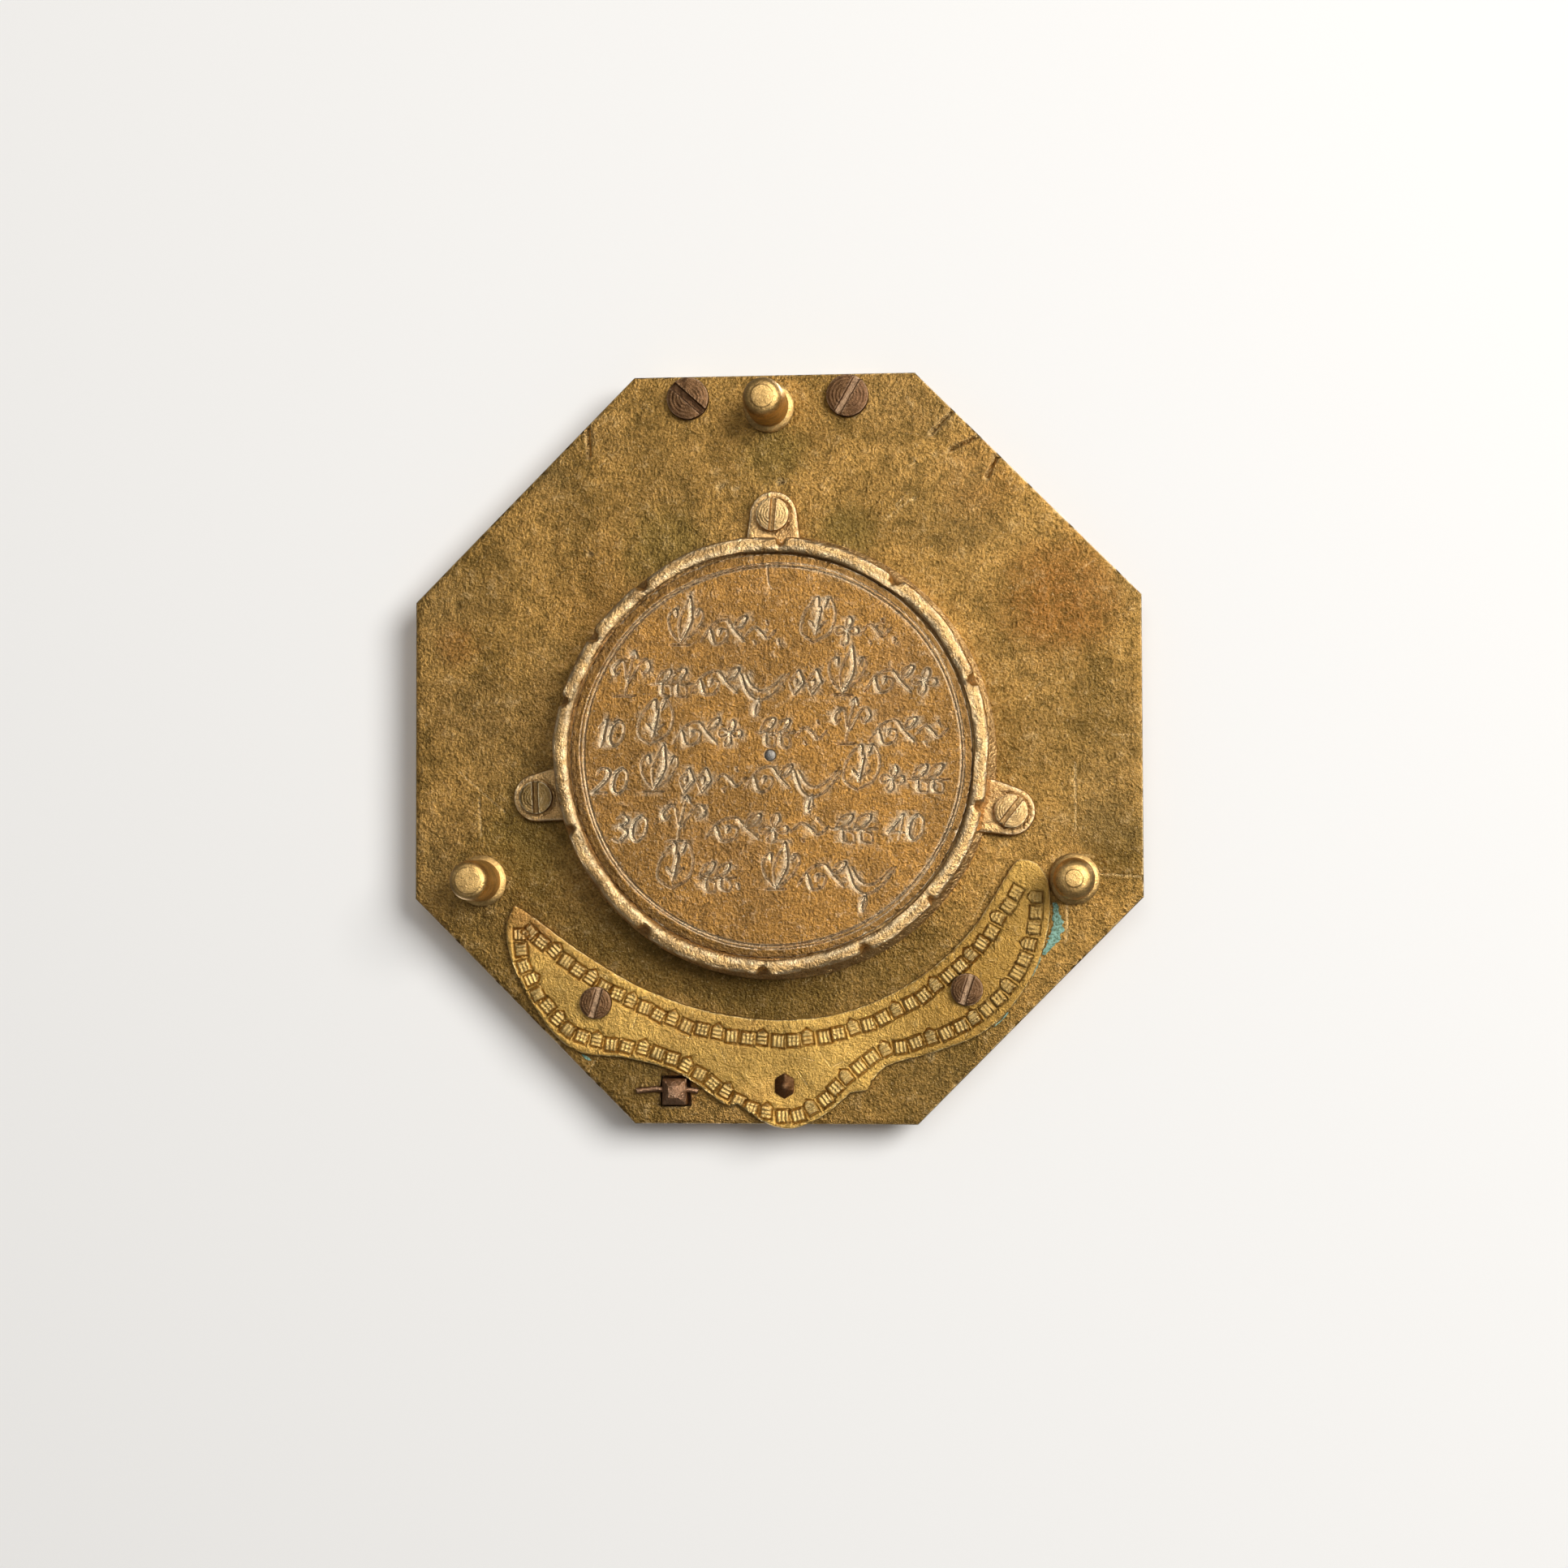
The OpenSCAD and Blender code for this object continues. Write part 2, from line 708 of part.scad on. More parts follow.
// Latitude arc, folded flat towards the east inside the hour ring
module latitude_arc() {
    color(yellow_brass)
        difference() {
            union() {
                translate([arc_x, 0, hinge_z - arc_t / 2])
                    linear_extrude(arc_t)
                        arc_outline();
                translate([arc_x, arc_knuckle_y, hinge_z])
                    along_y(arc_knuckle_w)
                        cylinder(r = arc_knuckle_r - 0.02, h = arc_knuckle_w);
            }
            translate([arc_x, arc_knuckle_y, hinge_z])
                along_y(arc_knuckle_w + 2)
                    cylinder(r = arc_pin_r + run_gap, h = arc_knuckle_w + 2);
        }
}

// Thin decorated plate under the south edge, which also springs the rest post down
module crescent_spring() {
    color(yellow_brass)
        difference() {
            translate([0, 0, crescent_z0])
                linear_extrude(crescent_t)
                    polygon(smooth_outline(crescent_points, curve_steps));
            for (p = crescent_screw_at)
                translate([p[0], p[1], crescent_z0 - cut])
                    cylinder(r = crescent_screw[2], h = crescent_t + 2 * cut);
            translate([rest_x - rest_shank[0] / 2, rest_y - rest_shank[1] / 2, crescent_z0 - cut])
                cube([rest_shank[0], rest_shank[1], crescent_t + 2 * cut]);
        }
}

module crescent_screws() {
    color(dark_copper)
        for (i = [0 : 1])
            translate([crescent_screw_at[i][0], crescent_screw_at[i][1], crescent_z0])
                slotted_screw(crescent_screw, crescent_t + plate_t, crescent_slots[i]);
}

// Clevis of the plummet stand, with a square tang that passes down through the plate
module stand_bracket() {
    ear_y = arm_t / 2 + side_gap;
    color(dark_copper)
        translate([stand_x, stand_y, 0])
            difference() {
                union() {
                    translate([-bracket_foot[0] / 2, -bracket_foot[1] / 2, plate_z1])
                        cube([bracket_foot[0], bracket_foot[1], arm_h - arm_knuckle_r - 0.05]);
                    for (side = [-1, 1])
                        translate([0, side * (ear_y + arm_ear_t / 2), 0]) {
                            translate([-arm_knuckle_r, -arm_ear_t / 2, plate_z1])
                                cube([2 * arm_knuckle_r, arm_ear_t, arm_h]);
                            translate([0, 0, arm_z])
                                along_y(arm_ear_t)
                                    cylinder(r = arm_knuckle_r, h = arm_ear_t);
                        }
                    translate([-tang_w / 2, -tang_l / 2, tang_z0 + tang_tip])
                        cube([tang_w, tang_l, plate_z1 - tang_z0 - tang_tip + 0.1]);
                    translate([0, 0, tang_z0 + tang_tip])
                        mirror([0, 0, 1])
                            linear_extrude(tang_tip, scale = 0.45)
                                square([tang_w, tang_l], center = true);
                }
                translate([0, 0, arm_z])
                    along_y(6)
                        cylinder(r = arm_pin_r, h = 6);
                translate([0, cotter_y, cotter_z])
                    along_x(6)
                        cylinder(r = cotter_r, h = 6);
            }
}

// Wire that keeps the tang from drawing up through the plate
module bracket_cotter() {
    color(dark_copper)
        translate([stand_x + 0.65, stand_y + cotter_y, cotter_z])
            along_x(cotter_len)
                cylinder(r = cotter_r, h = cotter_len);
}

module stand_hinge_pin() {
    pin_len = arm_t + 2 * side_gap + 2 * arm_ear_t;
    color(steel)
        translate([stand_x, stand_y, arm_z])
            along_y(pin_len)
                cylinder(r = arm_pin_r, h = pin_len);
}

// Forked rest for the folded arm, with a pointed shank through the plate and the crescent
module stand_rest() {
    color(dark_copper)
        translate([rest_x, rest_y, 0]) {
            difference() {
                translate([-rest_post[0] / 2, -1.9, plate_z1])
                    cube(rest_post);
                translate([-2, stand_y - rest_y - arm_t / 2 - 0.2, plate_z1 + rest_fork_z])
                    cube([4, arm_t + 0.4, 3]);
            }
            translate([-rest_shank[0] / 2, -rest_shank[1] / 2, crescent_z0])
                cube([rest_shank[0], rest_shank[1], plate_z1 - crescent_z0 + 0.1]);
            translate([0, 0, crescent_z0])
                mirror([0, 0, 1])
                    linear_extrude(rest_tip, scale = 0.2)
                        polygon([
                            [0, 1.15], [-0.85, 0.6], [-0.85, -0.6], [0, -1.15], [0.85, -0.6], [0.85, 0.6]
                        ]);
        }
}

// S-shaped arm, lying west of its pin
module plummet_stand() {
    steps = 24;
    shares = [for (i = [0 : steps]) i / steps];
    tip_r = 0.95;
    color(yellow_brass)
        translate([stand_x, stand_y, arm_z])
            difference() {
                union() {
                    along_y(arm_t)
                        linear_extrude(arm_t)
                            polygon(concat(
                                [for (t = shares) [-arm_len * t, arm_rise(t) + arm_half(t)]],
                                [
                                    for (i = [steps : -1 : 0])
                                        [-arm_len * shares[i], arm_rise(shares[i]) - arm_half(shares[i])]
                                ]
                            ));
                    along_y(arm_t)
                        cylinder(r = arm_knuckle_r - 0.02, h = arm_t);
                    translate([-arm_len, 0, 0])
                        along_y(arm_t)
                            cylinder(r = tip_r, h = arm_t);
                }
                along_y(arm_t + 2)
                    cylinder(r = arm_pin_r + run_gap, h = arm_t + 2);
                translate([-arm_len, 0, 0])
                    along_y(arm_t + 2)
                        cylinder(r = hook_r, h = arm_t + 2);
            }
}

// Headed pin at the arm's tip, which carries the bob beside the arm
module bob_hook() {
    south_y = stand_y - arm_t / 2;
    color(steel)
        translate([stand_x - arm_len, south_y, arm_z])
            rotate([-90, 0, 0])
                rotate_extrude()
                    polygon([
                        [0, 0], [hook_r, 0], [hook_r, bob_y - south_y + 0.45], [0.8, bob_y - south_y + 0.45],
                        [0.8, bob_y - south_y + 0.8], [0, bob_y - south_y + 0.95]
                    ]);
}

// Wire link with an eye that swings on the hook
module bob_link() {
    link_len = bob_reach - bob_len + bob_hole;
    color(steel)
        translate([stand_x - arm_len, bob_y, arm_z])
            difference() {
                union() {
                    along_y(link_eye_w)
                        cylinder(r = link_eye_r, h = link_eye_w);
                    rotate([0, 90, 0])
                        cylinder(r = link_r, h = link_len);
                }
                along_y(3)
                    cylinder(r = hook_r + run_gap, h = 3);
            }
}

// Turned brass bob, drilled for the link
module plumb_bob() {
    bob_steps = 14;
    color(gold_brass)
        translate([stand_x - arm_len + bob_reach - bob_len, bob_y, arm_z])
            rotate([0, 90, 0])
                rotate_extrude()
                    polygon(concat(
                        [[link_r, 0], [0.6, 0]],
                        [for (i = [1 : bob_steps - 1])
                            let (t = i / bob_steps)
                                [
                                    0.12 + (bob_r - 0.12) * pow(sin(180 * pow(t, 0.6)), 0.9),
                                    0.3 + (bob_len - 0.3) * t
                                ]],
                        [[0.08, bob_len], [0, bob_len], [0, bob_hole], [link_r, bob_hole]]
                    ));
}

base_plate();
compass_box();
compass_box_bottom();
compass_card();
compass_glass();
glass_ring();
needle_pivot();
box_lug_screws();
ring_hinge_block();
ring_hinge_screws();
ring_hinge_pin();
foot_north();
foot_east();
foot_west();
crescent_spring();
crescent_screws();
stand_bracket();
bracket_cotter();
stand_hinge_pin();
stand_rest();
arc_hinge_block();
arc_hinge_rivets();
arc_hinge_pin();
hour_ring();
gnomon_bridge();
bridge_rivets();
gnomon_pin();
gnomon_spring();
gnomon();
latitude_arc();
compass_needle();
needle_cap();
plummet_stand();
bob_hook();
bob_link();
plumb_bob();
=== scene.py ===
"""Looks of a folding equinoctial pocket sundial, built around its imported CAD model.

Lengths in this script are millimetres in the CAD frame (+Z up, +Y north, +X east) unless a name says
otherwise; mesh data is turned into metres at the end of each builder. The dial is seen from below, so
engraving on the underside is laid out with u to the viewer's right (u = -x) and v upwards (v = y).
"""

import json
import math

import bmesh
import bpy
import numpy as np
from mathutils import Matrix, Vector
from mathutils.geometry import delaunay_2d_cdt
from mathutils.kdtree import KDTree

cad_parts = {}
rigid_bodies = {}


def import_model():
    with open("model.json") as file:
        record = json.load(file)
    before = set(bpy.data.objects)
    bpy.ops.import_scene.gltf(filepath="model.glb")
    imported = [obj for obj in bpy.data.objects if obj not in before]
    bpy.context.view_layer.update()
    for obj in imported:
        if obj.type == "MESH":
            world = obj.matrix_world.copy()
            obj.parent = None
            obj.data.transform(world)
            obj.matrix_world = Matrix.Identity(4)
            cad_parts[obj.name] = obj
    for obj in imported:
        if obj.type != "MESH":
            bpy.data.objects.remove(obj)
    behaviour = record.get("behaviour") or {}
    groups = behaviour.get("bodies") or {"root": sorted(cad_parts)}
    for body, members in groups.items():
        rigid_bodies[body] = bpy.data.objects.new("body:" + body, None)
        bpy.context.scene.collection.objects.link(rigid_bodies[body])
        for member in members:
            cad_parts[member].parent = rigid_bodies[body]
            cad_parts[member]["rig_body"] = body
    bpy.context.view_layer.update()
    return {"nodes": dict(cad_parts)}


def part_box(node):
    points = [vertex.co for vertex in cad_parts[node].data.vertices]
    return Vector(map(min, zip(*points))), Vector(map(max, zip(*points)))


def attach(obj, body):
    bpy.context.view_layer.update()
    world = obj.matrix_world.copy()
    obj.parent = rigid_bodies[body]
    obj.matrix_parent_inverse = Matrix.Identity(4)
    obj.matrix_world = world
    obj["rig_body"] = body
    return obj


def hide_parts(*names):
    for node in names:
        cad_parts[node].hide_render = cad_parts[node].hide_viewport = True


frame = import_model()

MM = 0.001
nodes = frame["nodes"]


def node_box(name):
    """Lowest and highest corners of a CAD node, in millimetres."""
    low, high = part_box(name)
    return np.array(low) / MM, np.array(high) / MM


# Driving sizes, read from the CAD model where it has them
plate_low, plate_high = node_box("base_plate")
plate_z0, plate_z1 = plate_low[2], plate_high[2]
plate_half_x, plate_half_y = plate_high[0], plate_high[1]
disc_low, disc_high = node_box("compass_box_bottom")
compass_x, compass_y = 0.0, (disc_low[1] + disc_high[1]) / 2
disc_r = (disc_high[0] - disc_low[0]) / 2
crescent_z0 = node_box("crescent_spring")[0][2]
# Half lengths of the plate's north and east edges, and its window
EDGE_N, EDGE_E = 11.7, 12.4
WINDOW_R = 14.2


# ---- shapes and fields


def closed_curve(points, steps):
    """Smooth closed outline through points; a point given twice is a corner."""
    n = len(points)
    out = []
    for i in range(n):
        a, b, c, d = (np.array(points[(i + k) % n], float) for k in (-1, 0, 1, 2))
        if np.allclose(b, c):
            continue
        for s in range(steps):
            out.append(spline_at(a, b, c, d, s / steps))
    return np.array(out)


def spline_at(a, b, c, d, t):
    return 0.5 * (
        2 * b + (c - a) * t + (2 * a - 5 * b + 4 * c - d) * t * t + (3 * b - a - 3 * c + d) * t**3
    )


def open_curve(points, steps=8):
    """Smooth open curve through points; a point given twice is a corner."""
    p = [np.array(q, float) for q in points]
    p = [2 * p[0] - p[1]] + p + [2 * p[-1] - p[-2]]
    out = []
    for i in range(1, len(p) - 2):
        if np.allclose(p[i], p[i + 1]):
            continue
        for s in range(steps):
            out.append(spline_at(p[i - 1], p[i], p[i + 1], p[i + 2], s / steps))
    out.append(p[-2])
    return np.array(out)


def circle(cx, cy, r, count):
    a = np.arange(count) * 2 * math.pi / count
    return np.stack([cx + r * np.cos(a), cy + r * np.sin(a)], 1)


def polar(cx, cy, r, deg):
    a = math.radians(deg)
    return cx + r * math.cos(a), cy + r * math.sin(a)


def closed(line):
    """The line with its first point once more at its end."""
    return np.vstack([line, line[:1]])


def resample(loop, step):
    """The same closed line with points about step apart, keeping its corners."""
    out = []
    for a, b in zip(np.asarray(loop, float), np.roll(np.asarray(loop, float), -1, 0)):
        count = max(1, int(round(np.linalg.norm(b - a) / step)))
        out += [a + (b - a) * k / count for k in range(count)]
    return np.array(out)


def rectangle(cx, cy, w, h, step):
    x, y = w / 2, h / 2
    return resample([(cx - x, cy - y), (cx + x, cy - y), (cx + x, cy + y), (cx - x, cy + y)], step)


def even_steps(line, step):
    """Points at an even spacing along an open line."""
    line = np.asarray(line, float)
    seg = np.linalg.norm(np.diff(line, axis=0), axis=1)
    along = np.concatenate([[0], np.cumsum(seg)])
    count = max(2, int(round(along[-1] / step)) + 1)
    want = np.linspace(0, along[-1], count)
    return np.stack([np.interp(want, along, line[:, k]) for k in (0, 1)], 1)


def inside(points, loops):
    """Even-odd test of points against closed loops."""
    hit = np.zeros(len(points), bool)
    x, y = points[:, 0], points[:, 1]
    for loop in loops:
        for (x0, y0), (x1, y1) in zip(loop, np.roll(loop, -1, 0)):
            if y0 == y1:
                continue
            crosses = (y0 > y) != (y1 > y)
            hit ^= crosses & (x < (x1 - x0) * (y - y0) / (y1 - y0) + x0)
    return hit


def offset_loop(loop, distance):
    """Loop moved to the left of its direction by distance."""
    before, after = np.roll(loop, 1, 0), np.roll(loop, -1, 0)
    d = after - before
    d /= np.maximum(np.linalg.norm(d, axis=1, keepdims=True), 1e-9)
    return loop + distance * np.stack([-d[:, 1], d[:, 0]], 1)


def signed_area(loop):
    x, y = loop[:, 0], loop[:, 1]
    return 0.5 * np.sum(x * np.roll(y, -1) - y * np.roll(x, -1))


class Field:
    """Height of a surface in millimetres on an even grid, with three masks for its material."""

    def __init__(self, low, high, cell, seed):
        self.low = np.array(low, float)
        self.cell = cell
        self.nx = int((high[0] - low[0]) / cell) + 2
        self.ny = int((high[1] - low[1]) / cell) + 2
        self.h = np.zeros((self.ny, self.nx))
        self.bright = np.zeros_like(self.h)
        self.dark = np.zeros_like(self.h)
        self.cut = np.zeros_like(self.h)
        self.x = self.low[0] + np.arange(self.nx) * cell
        self.y = self.low[1] + np.arange(self.ny) * cell
        self.rng = np.random.default_rng(seed)

    def noise(self, scale, amount):
        """Smooth noise with bumps about scale across."""
        gx, gy = int(self.nx * self.cell / scale) + 4, int(self.ny * self.cell / scale) + 4
        g = self.rng.uniform(-1, 1, (gy, gx))
        fx = np.arange(self.nx) * self.cell / scale
        fy = np.arange(self.ny) * self.cell / scale
        ix, iy = fx.astype(int), fy.astype(int)
        tx, ty = fx - ix, fy - iy
        tx, ty = tx * tx * (3 - 2 * tx), ty * ty * (3 - 2 * ty)
        a = g[iy][:, ix] * (1 - tx) + g[iy][:, ix + 1] * tx
        b = g[iy + 1][:, ix] * (1 - tx) + g[iy + 1][:, ix + 1] * tx
        return amount * (a * (1 - ty)[:, None] + b * ty[:, None])

    def window(self, x0, y0, x1, y1):
        """Slices of the grid that cover a box."""
        i0 = max(0, int((x0 - self.low[0]) / self.cell))
        i1 = min(self.nx, int((x1 - self.low[0]) / self.cell) + 2)
        j0 = max(0, int((y0 - self.low[1]) / self.cell))
        j1 = min(self.ny, int((y1 - self.low[1]) / self.cell) + 2)
        return slice(j0, j1), slice(i0, i1)

    def distance_to(self, a, b, reach):
        """Distance of nearby grid points from a segment, and the share along it."""
        x0, x1 = min(a[0], b[0]) - reach, max(a[0], b[0]) + reach
        y0, y1 = min(a[1], b[1]) - reach, max(a[1], b[1]) + reach
        js, is_ = self.window(x0, y0, x1, y1)
        gx, gy = np.meshgrid(self.x[is_], self.y[js])
        d = np.array(b, float) - np.array(a, float)
        length = max(float(d @ d), 1e-12)
        t = np.clip(((gx - a[0]) * d[0] + (gy - a[1]) * d[1]) / length, 0, 1)
        return js, is_, np.hypot(gx - a[0] - t * d[0], gy - a[1] - t * d[1]), t

    def groove(self, line, widths, depth, burr=0.0):
        """Engraved line: a rounded V cut with a slight burr at both sides."""
        line = np.asarray(line, float)
        widths = np.broadcast_to(np.asarray(widths, float), (len(line),))
        for k in range(len(line) - 1):
            half = max(widths[k], widths[k + 1]) / 2
            reach = half * 1.7 + 0.02
            js, is_, dist, t = self.distance_to(line[k], line[k + 1], reach)
            if dist.size == 0:
                continue
            half_t = np.maximum((widths[k] * (1 - t) + widths[k + 1] * t) / 2, 0.02)
            share = dist / half_t
            cut = -depth * np.minimum(1, half_t / half * 1.2) * np.clip(1 - share**1.6, 0, 1)
            part = self.h[js, is_]
            deeper = share < 1
            part[deeper] = np.minimum(part[deeper], cut[deeper])
            if burr:
                ridge = burr * np.exp(-(((share - 1.2) / 0.28) ** 2))
                rise = (share >= 1) & (part > -1e-6) & (part < ridge)
                part[rise] = ridge[rise]
                light = np.clip(ridge / burr, 0, 1) * (share >= 0.95)
                self.bright[js, is_] = np.maximum(self.bright[js, is_], light)
            self.cut[js, is_] = np.maximum(self.cut[js, is_], np.clip(1.1 - share, 0, 1))

    def ring(self, centre, r, width, depth=0.05, burr=0.006, count=220):
        """Scribed circle."""
        self.groove(closed(circle(*centre, r, count)), width, depth, burr)

    def tick(self, centre, r0, r1, deg, width):
        """Short cut across a round scale."""
        self.groove([polar(*centre, r0, deg), polar(*centre, r1, deg)], width, 0.05, 0.006)

    def far(self, cx, cy):
        """Distance of every grid point from (cx, cy)."""
        gx, gy = np.meshgrid(self.x, self.y)
        return np.hypot(gx - cx, gy - cy)

    def dent(self, cx, cy, r, depth):
        """Smooth round hollow."""
        js, is_ = self.window(cx - r, cy - r, cx + r, cy + r)
        gx, gy = np.meshgrid(self.x[is_], self.y[js])
        s = np.clip(1 - ((gx - cx) ** 2 + (gy - cy) ** 2) / r**2, 0, 1)
        self.h[js, is_] -= depth * s * s * (3 - 2 * s)

    def pepper(self, count, reach, radii, depths):
        """Random dents in a square about the origin."""
        for _ in range(count):
            x, y = self.rng.uniform(-reach, reach), self.rng.uniform(-reach, reach)
            self.dent(x, y, self.rng.uniform(*radii), self.rng.uniform(*depths))

    def sample(self, grid, pts):
        """A grid's values at any points, between its own."""
        fx = np.clip((pts[:, 0] - self.low[0]) / self.cell, 0, self.nx - 2 + 1e-9)
        fy = np.clip((pts[:, 1] - self.low[1]) / self.cell, 0, self.ny - 2 + 1e-9)
        ix, iy = np.minimum(fx.astype(int), self.nx - 2), np.minimum(fy.astype(int), self.ny - 2)
        tx, ty = fx - ix, fy - iy
        low = grid[iy, ix] * (1 - tx) + grid[iy, ix + 1] * tx
        high = grid[iy + 1, ix] * (1 - tx) + grid[iy + 1, ix + 1] * tx
        return low * (1 - ty) + high * ty

    def detail(self, limit):
        """Where the surface is steep enough to need fine mesh."""
        gy, gx = np.gradient(self.h, self.cell)
        steep = np.hypot(gx, gy) > limit
        wide = steep.copy()
        for shift in (-1, 1):
            wide |= np.roll(steep, shift, 0) | np.roll(steep, shift, 1)
        return wide


# ---- mesh builders


def new_object(name, data):
    obj = bpy.data.objects.new(name, data)
    bpy.context.scene.collection.objects.link(obj)
    return obj


def finish_mesh(name, mesh, material, smooth_deg):
    """Object of a mesh, smooth but for edges sharper than smooth_deg."""
    mesh.materials.append(material)
    mesh.shade_smooth()
    mesh.set_sharp_from_angle(angle=math.radians(smooth_deg))
    return new_object(name, mesh)


def make_object(name, verts_mm, faces, material, smooth_deg=35, axes="xyz"):
    """Mesh object from millimetre points; axes names the frame axis of each of their coordinates."""
    verts_mm = np.asarray(verts_mm, float)[:, [axes.index(axis) for axis in "xyz"]]
    mesh = bpy.data.meshes.new(name)
    mesh.from_pydata((verts_mm * MM).tolist(), [], faces)
    mesh.update()
    mesh.validate()
    return finish_mesh(name, mesh, material, smooth_deg)


def add_mask(obj, name, values):
    layer = obj.data.attributes.new(name, "FLOAT", "POINT")
    layer.data.foreach_set("value", np.asarray(values, np.float32))


# Shares of a rounded edge's width at which it has points
EDGE_RINGS = (0.0, 0.3, 1.0)


def sheet_points(loops, field, fine, coarse, steep, clear):
    """Inner points of a sheet's face: an even net, fine only where the field is steep."""
    low, high = np.min(loops[0], 0), np.max(loops[0], 0)
    row = fine * math.sqrt(3) / 2
    gi, gj = np.meshgrid(np.arange(int((high[0] - low[0]) / fine) + 2),
                         np.arange(int((high[1] - low[1]) / row) + 2))
    points = np.stack([low[0] + (gi + 0.5 * (gj % 2)) * fine, low[1] + gj * row], 2).reshape(-1, 2)
    keep = ((gi % coarse == 0) & (gj % coarse == 0)).reshape(-1)
    if field is not None:
        keep |= field.sample(field.detail(steep).astype(float), points) > 0.4
    points = points[keep]
    points = points[inside(points, loops)]
    edge = np.vstack([resample(loop, clear / 2) for loop in loops])
    tree = KDTree(len(edge))
    for i, p in enumerate(edge):
        tree.insert((p[0], p[1], 0), i)
    tree.balance()
    gap = np.array([tree.find((p[0], p[1], 0))[2] for p in points])
    return points[gap > clear]


def sheet_face(loops, field, fine, coarse, steep, bevel):
    """One face of a sheet: flat points, triangles, edge drop, and the outline's points in order."""
    rings, drops = [], []
    for loop in loops:
        for share in EDGE_RINGS:
            rings.append(offset_loop(loop, bevel * share))
            drops.append(np.full(len(loop), bevel * (1 - math.sqrt(1 - (1 - share) ** 2))))
    grid = sheet_points(loops, field, fine, coarse, steep, bevel + fine * 0.5)
    points = np.vstack(rings + [grid])
    drop = np.concatenate(drops + [np.zeros(len(grid))])
    edges, start = [], 0
    for loop in loops:
        n = len(loop)
        edges += [(start + k, start + (k + 1) % n) for k in range(n)]
        start += n * len(EDGE_RINGS)
    out = delaunay_2d_cdt([Vector(p) for p in points], edges, [], 0, 1e-7, True)
    flat = np.array([tuple(v) for v in out[0]])
    source = np.array([ids[0] for ids in out[3]])
    moved = {old: new for new, ids in enumerate(out[3]) for old in ids}
    tris = np.array([f for f in out[2] if len(f) == 3])
    tris = tris[inside(flat[tris].mean(1), loops)]
    border = [(moved[a], moved[b]) for a, b in edges]
    return flat, tris, drop[source], border


def relief(name, loops, z_face, z_back, material, fine, coarse=1, face=None, back=None, bevel=0.1,
           steep=0.06, smooth_deg=40, axes="xyz"):
    """Closed sheet between z_face and z_back whose two faces carry fields, with rounded edges.

    loops[0] is the outline and the others are holes. A field's negative heights go into the sheet. The
    mesh is fine millimetres apart where a field is steeper than steep, and coarse times that elsewhere.
    """
    away = 1.0 if z_back > z_face else -1.0
    turned = []
    for i, loop in enumerate(loops):
        loop = np.asarray(loop, float)
        turned.append(loop if (signed_area(loop) > 0) == (i == 0) else loop[::-1])
    sides = []
    for field in (face, back):
        sides.append(sheet_face(turned, field, fine, coarse, steep, bevel))
    verts, faces, borders, start = [], [], [], 0
    masks = {"rim": [], "side": [], "bright": [], "dark": [], "cut": []}
    for side, field, z, inward in ((0, face, z_face, away), (1, back, z_back, -away)):
        flat, tris, drop, border = sides[side]
        height = field.sample(field.h, flat) if field is not None else 0.0
        verts.append(np.column_stack([flat, z + inward * (drop - height)]))
        faces += (tris[:, ::-1] + start if inward > 0 else tris + start).tolist()
        borders.append([(a + start, b + start) for a, b in border])
        worn = drop / bevel
        masks["rim"].append(4 * worn * (1 - worn))
        masks["side"].append(worn > 0.99)
        for key in ("bright", "dark", "cut"):
            grid = getattr(field, key) if field is not None else None
            masks[key].append(field.sample(grid, flat) if field is not None else np.zeros(len(flat)))
        start += len(flat)
    for (a, b), (c, d) in zip(*borders):
        faces.append((a, b, d, c) if away > 0 else (b, a, c, d))
    obj = make_object(name, np.vstack(verts), faces, material, smooth_deg, axes)
    for key, parts in masks.items():
        add_mask(obj, key, np.concatenate(parts))
    return obj


def wall_faces(rows, count):
    """Quads between closed rows of points, then the two end faces."""
    faces = []
    for i in range(rows - 1):
        for k in range(count):
            m = (k + 1) % count
            faces.append((i * count + k, i * count + m, (i + 1) * count + m, (i + 1) * count + k))
    faces.append(tuple(range(count))[::-1])
    faces.append(tuple((rows - 1) * count + k for k in range(count)))
    return faces


def lathe(name, profile, centre, material, count, smooth_deg, wobble=None, axes="xyz"):
    """Solid of revolution about a vertical axis from (radius, z) pairs, with an optional shape change.

    A profile that ends where it starts makes a ring; any other gets two end faces.
    """
    profile = np.asarray(profile, float)
    a = np.arange(count) * 2 * math.pi / count
    r = np.repeat(profile[:, :1], count, 1)
    z = np.repeat(profile[:, 1:], count, 1)
    if wobble is not None:
        r, z = wobble(r, z, a)
    verts = np.stack([centre[0] + r * np.cos(a), centre[1] + r * np.sin(a), z], 2).reshape(-1, 3)
    faces = wall_faces(len(profile), count)
    if np.allclose(profile[0], profile[-1]):
        verts = verts[:-count]
        faces = [tuple(v % len(verts) for v in face) for face in faces[:-2]]
    obj = make_object(name, verts, faces, material, smooth_deg, axes)
    bm = bmesh.new()
    bm.from_mesh(obj.data)
    bmesh.ops.recalc_face_normals(bm, faces=bm.faces)
    bm.to_mesh(obj.data)
    bm.free()
    return obj


def place(obj, body, slot, *replaced):
    """Hangs a piece on its body and lets it stand for CAD nodes, which it hides; its slot is not used."""
    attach(obj, body)
    if replaced:
        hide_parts(*replaced)


# ---- materials


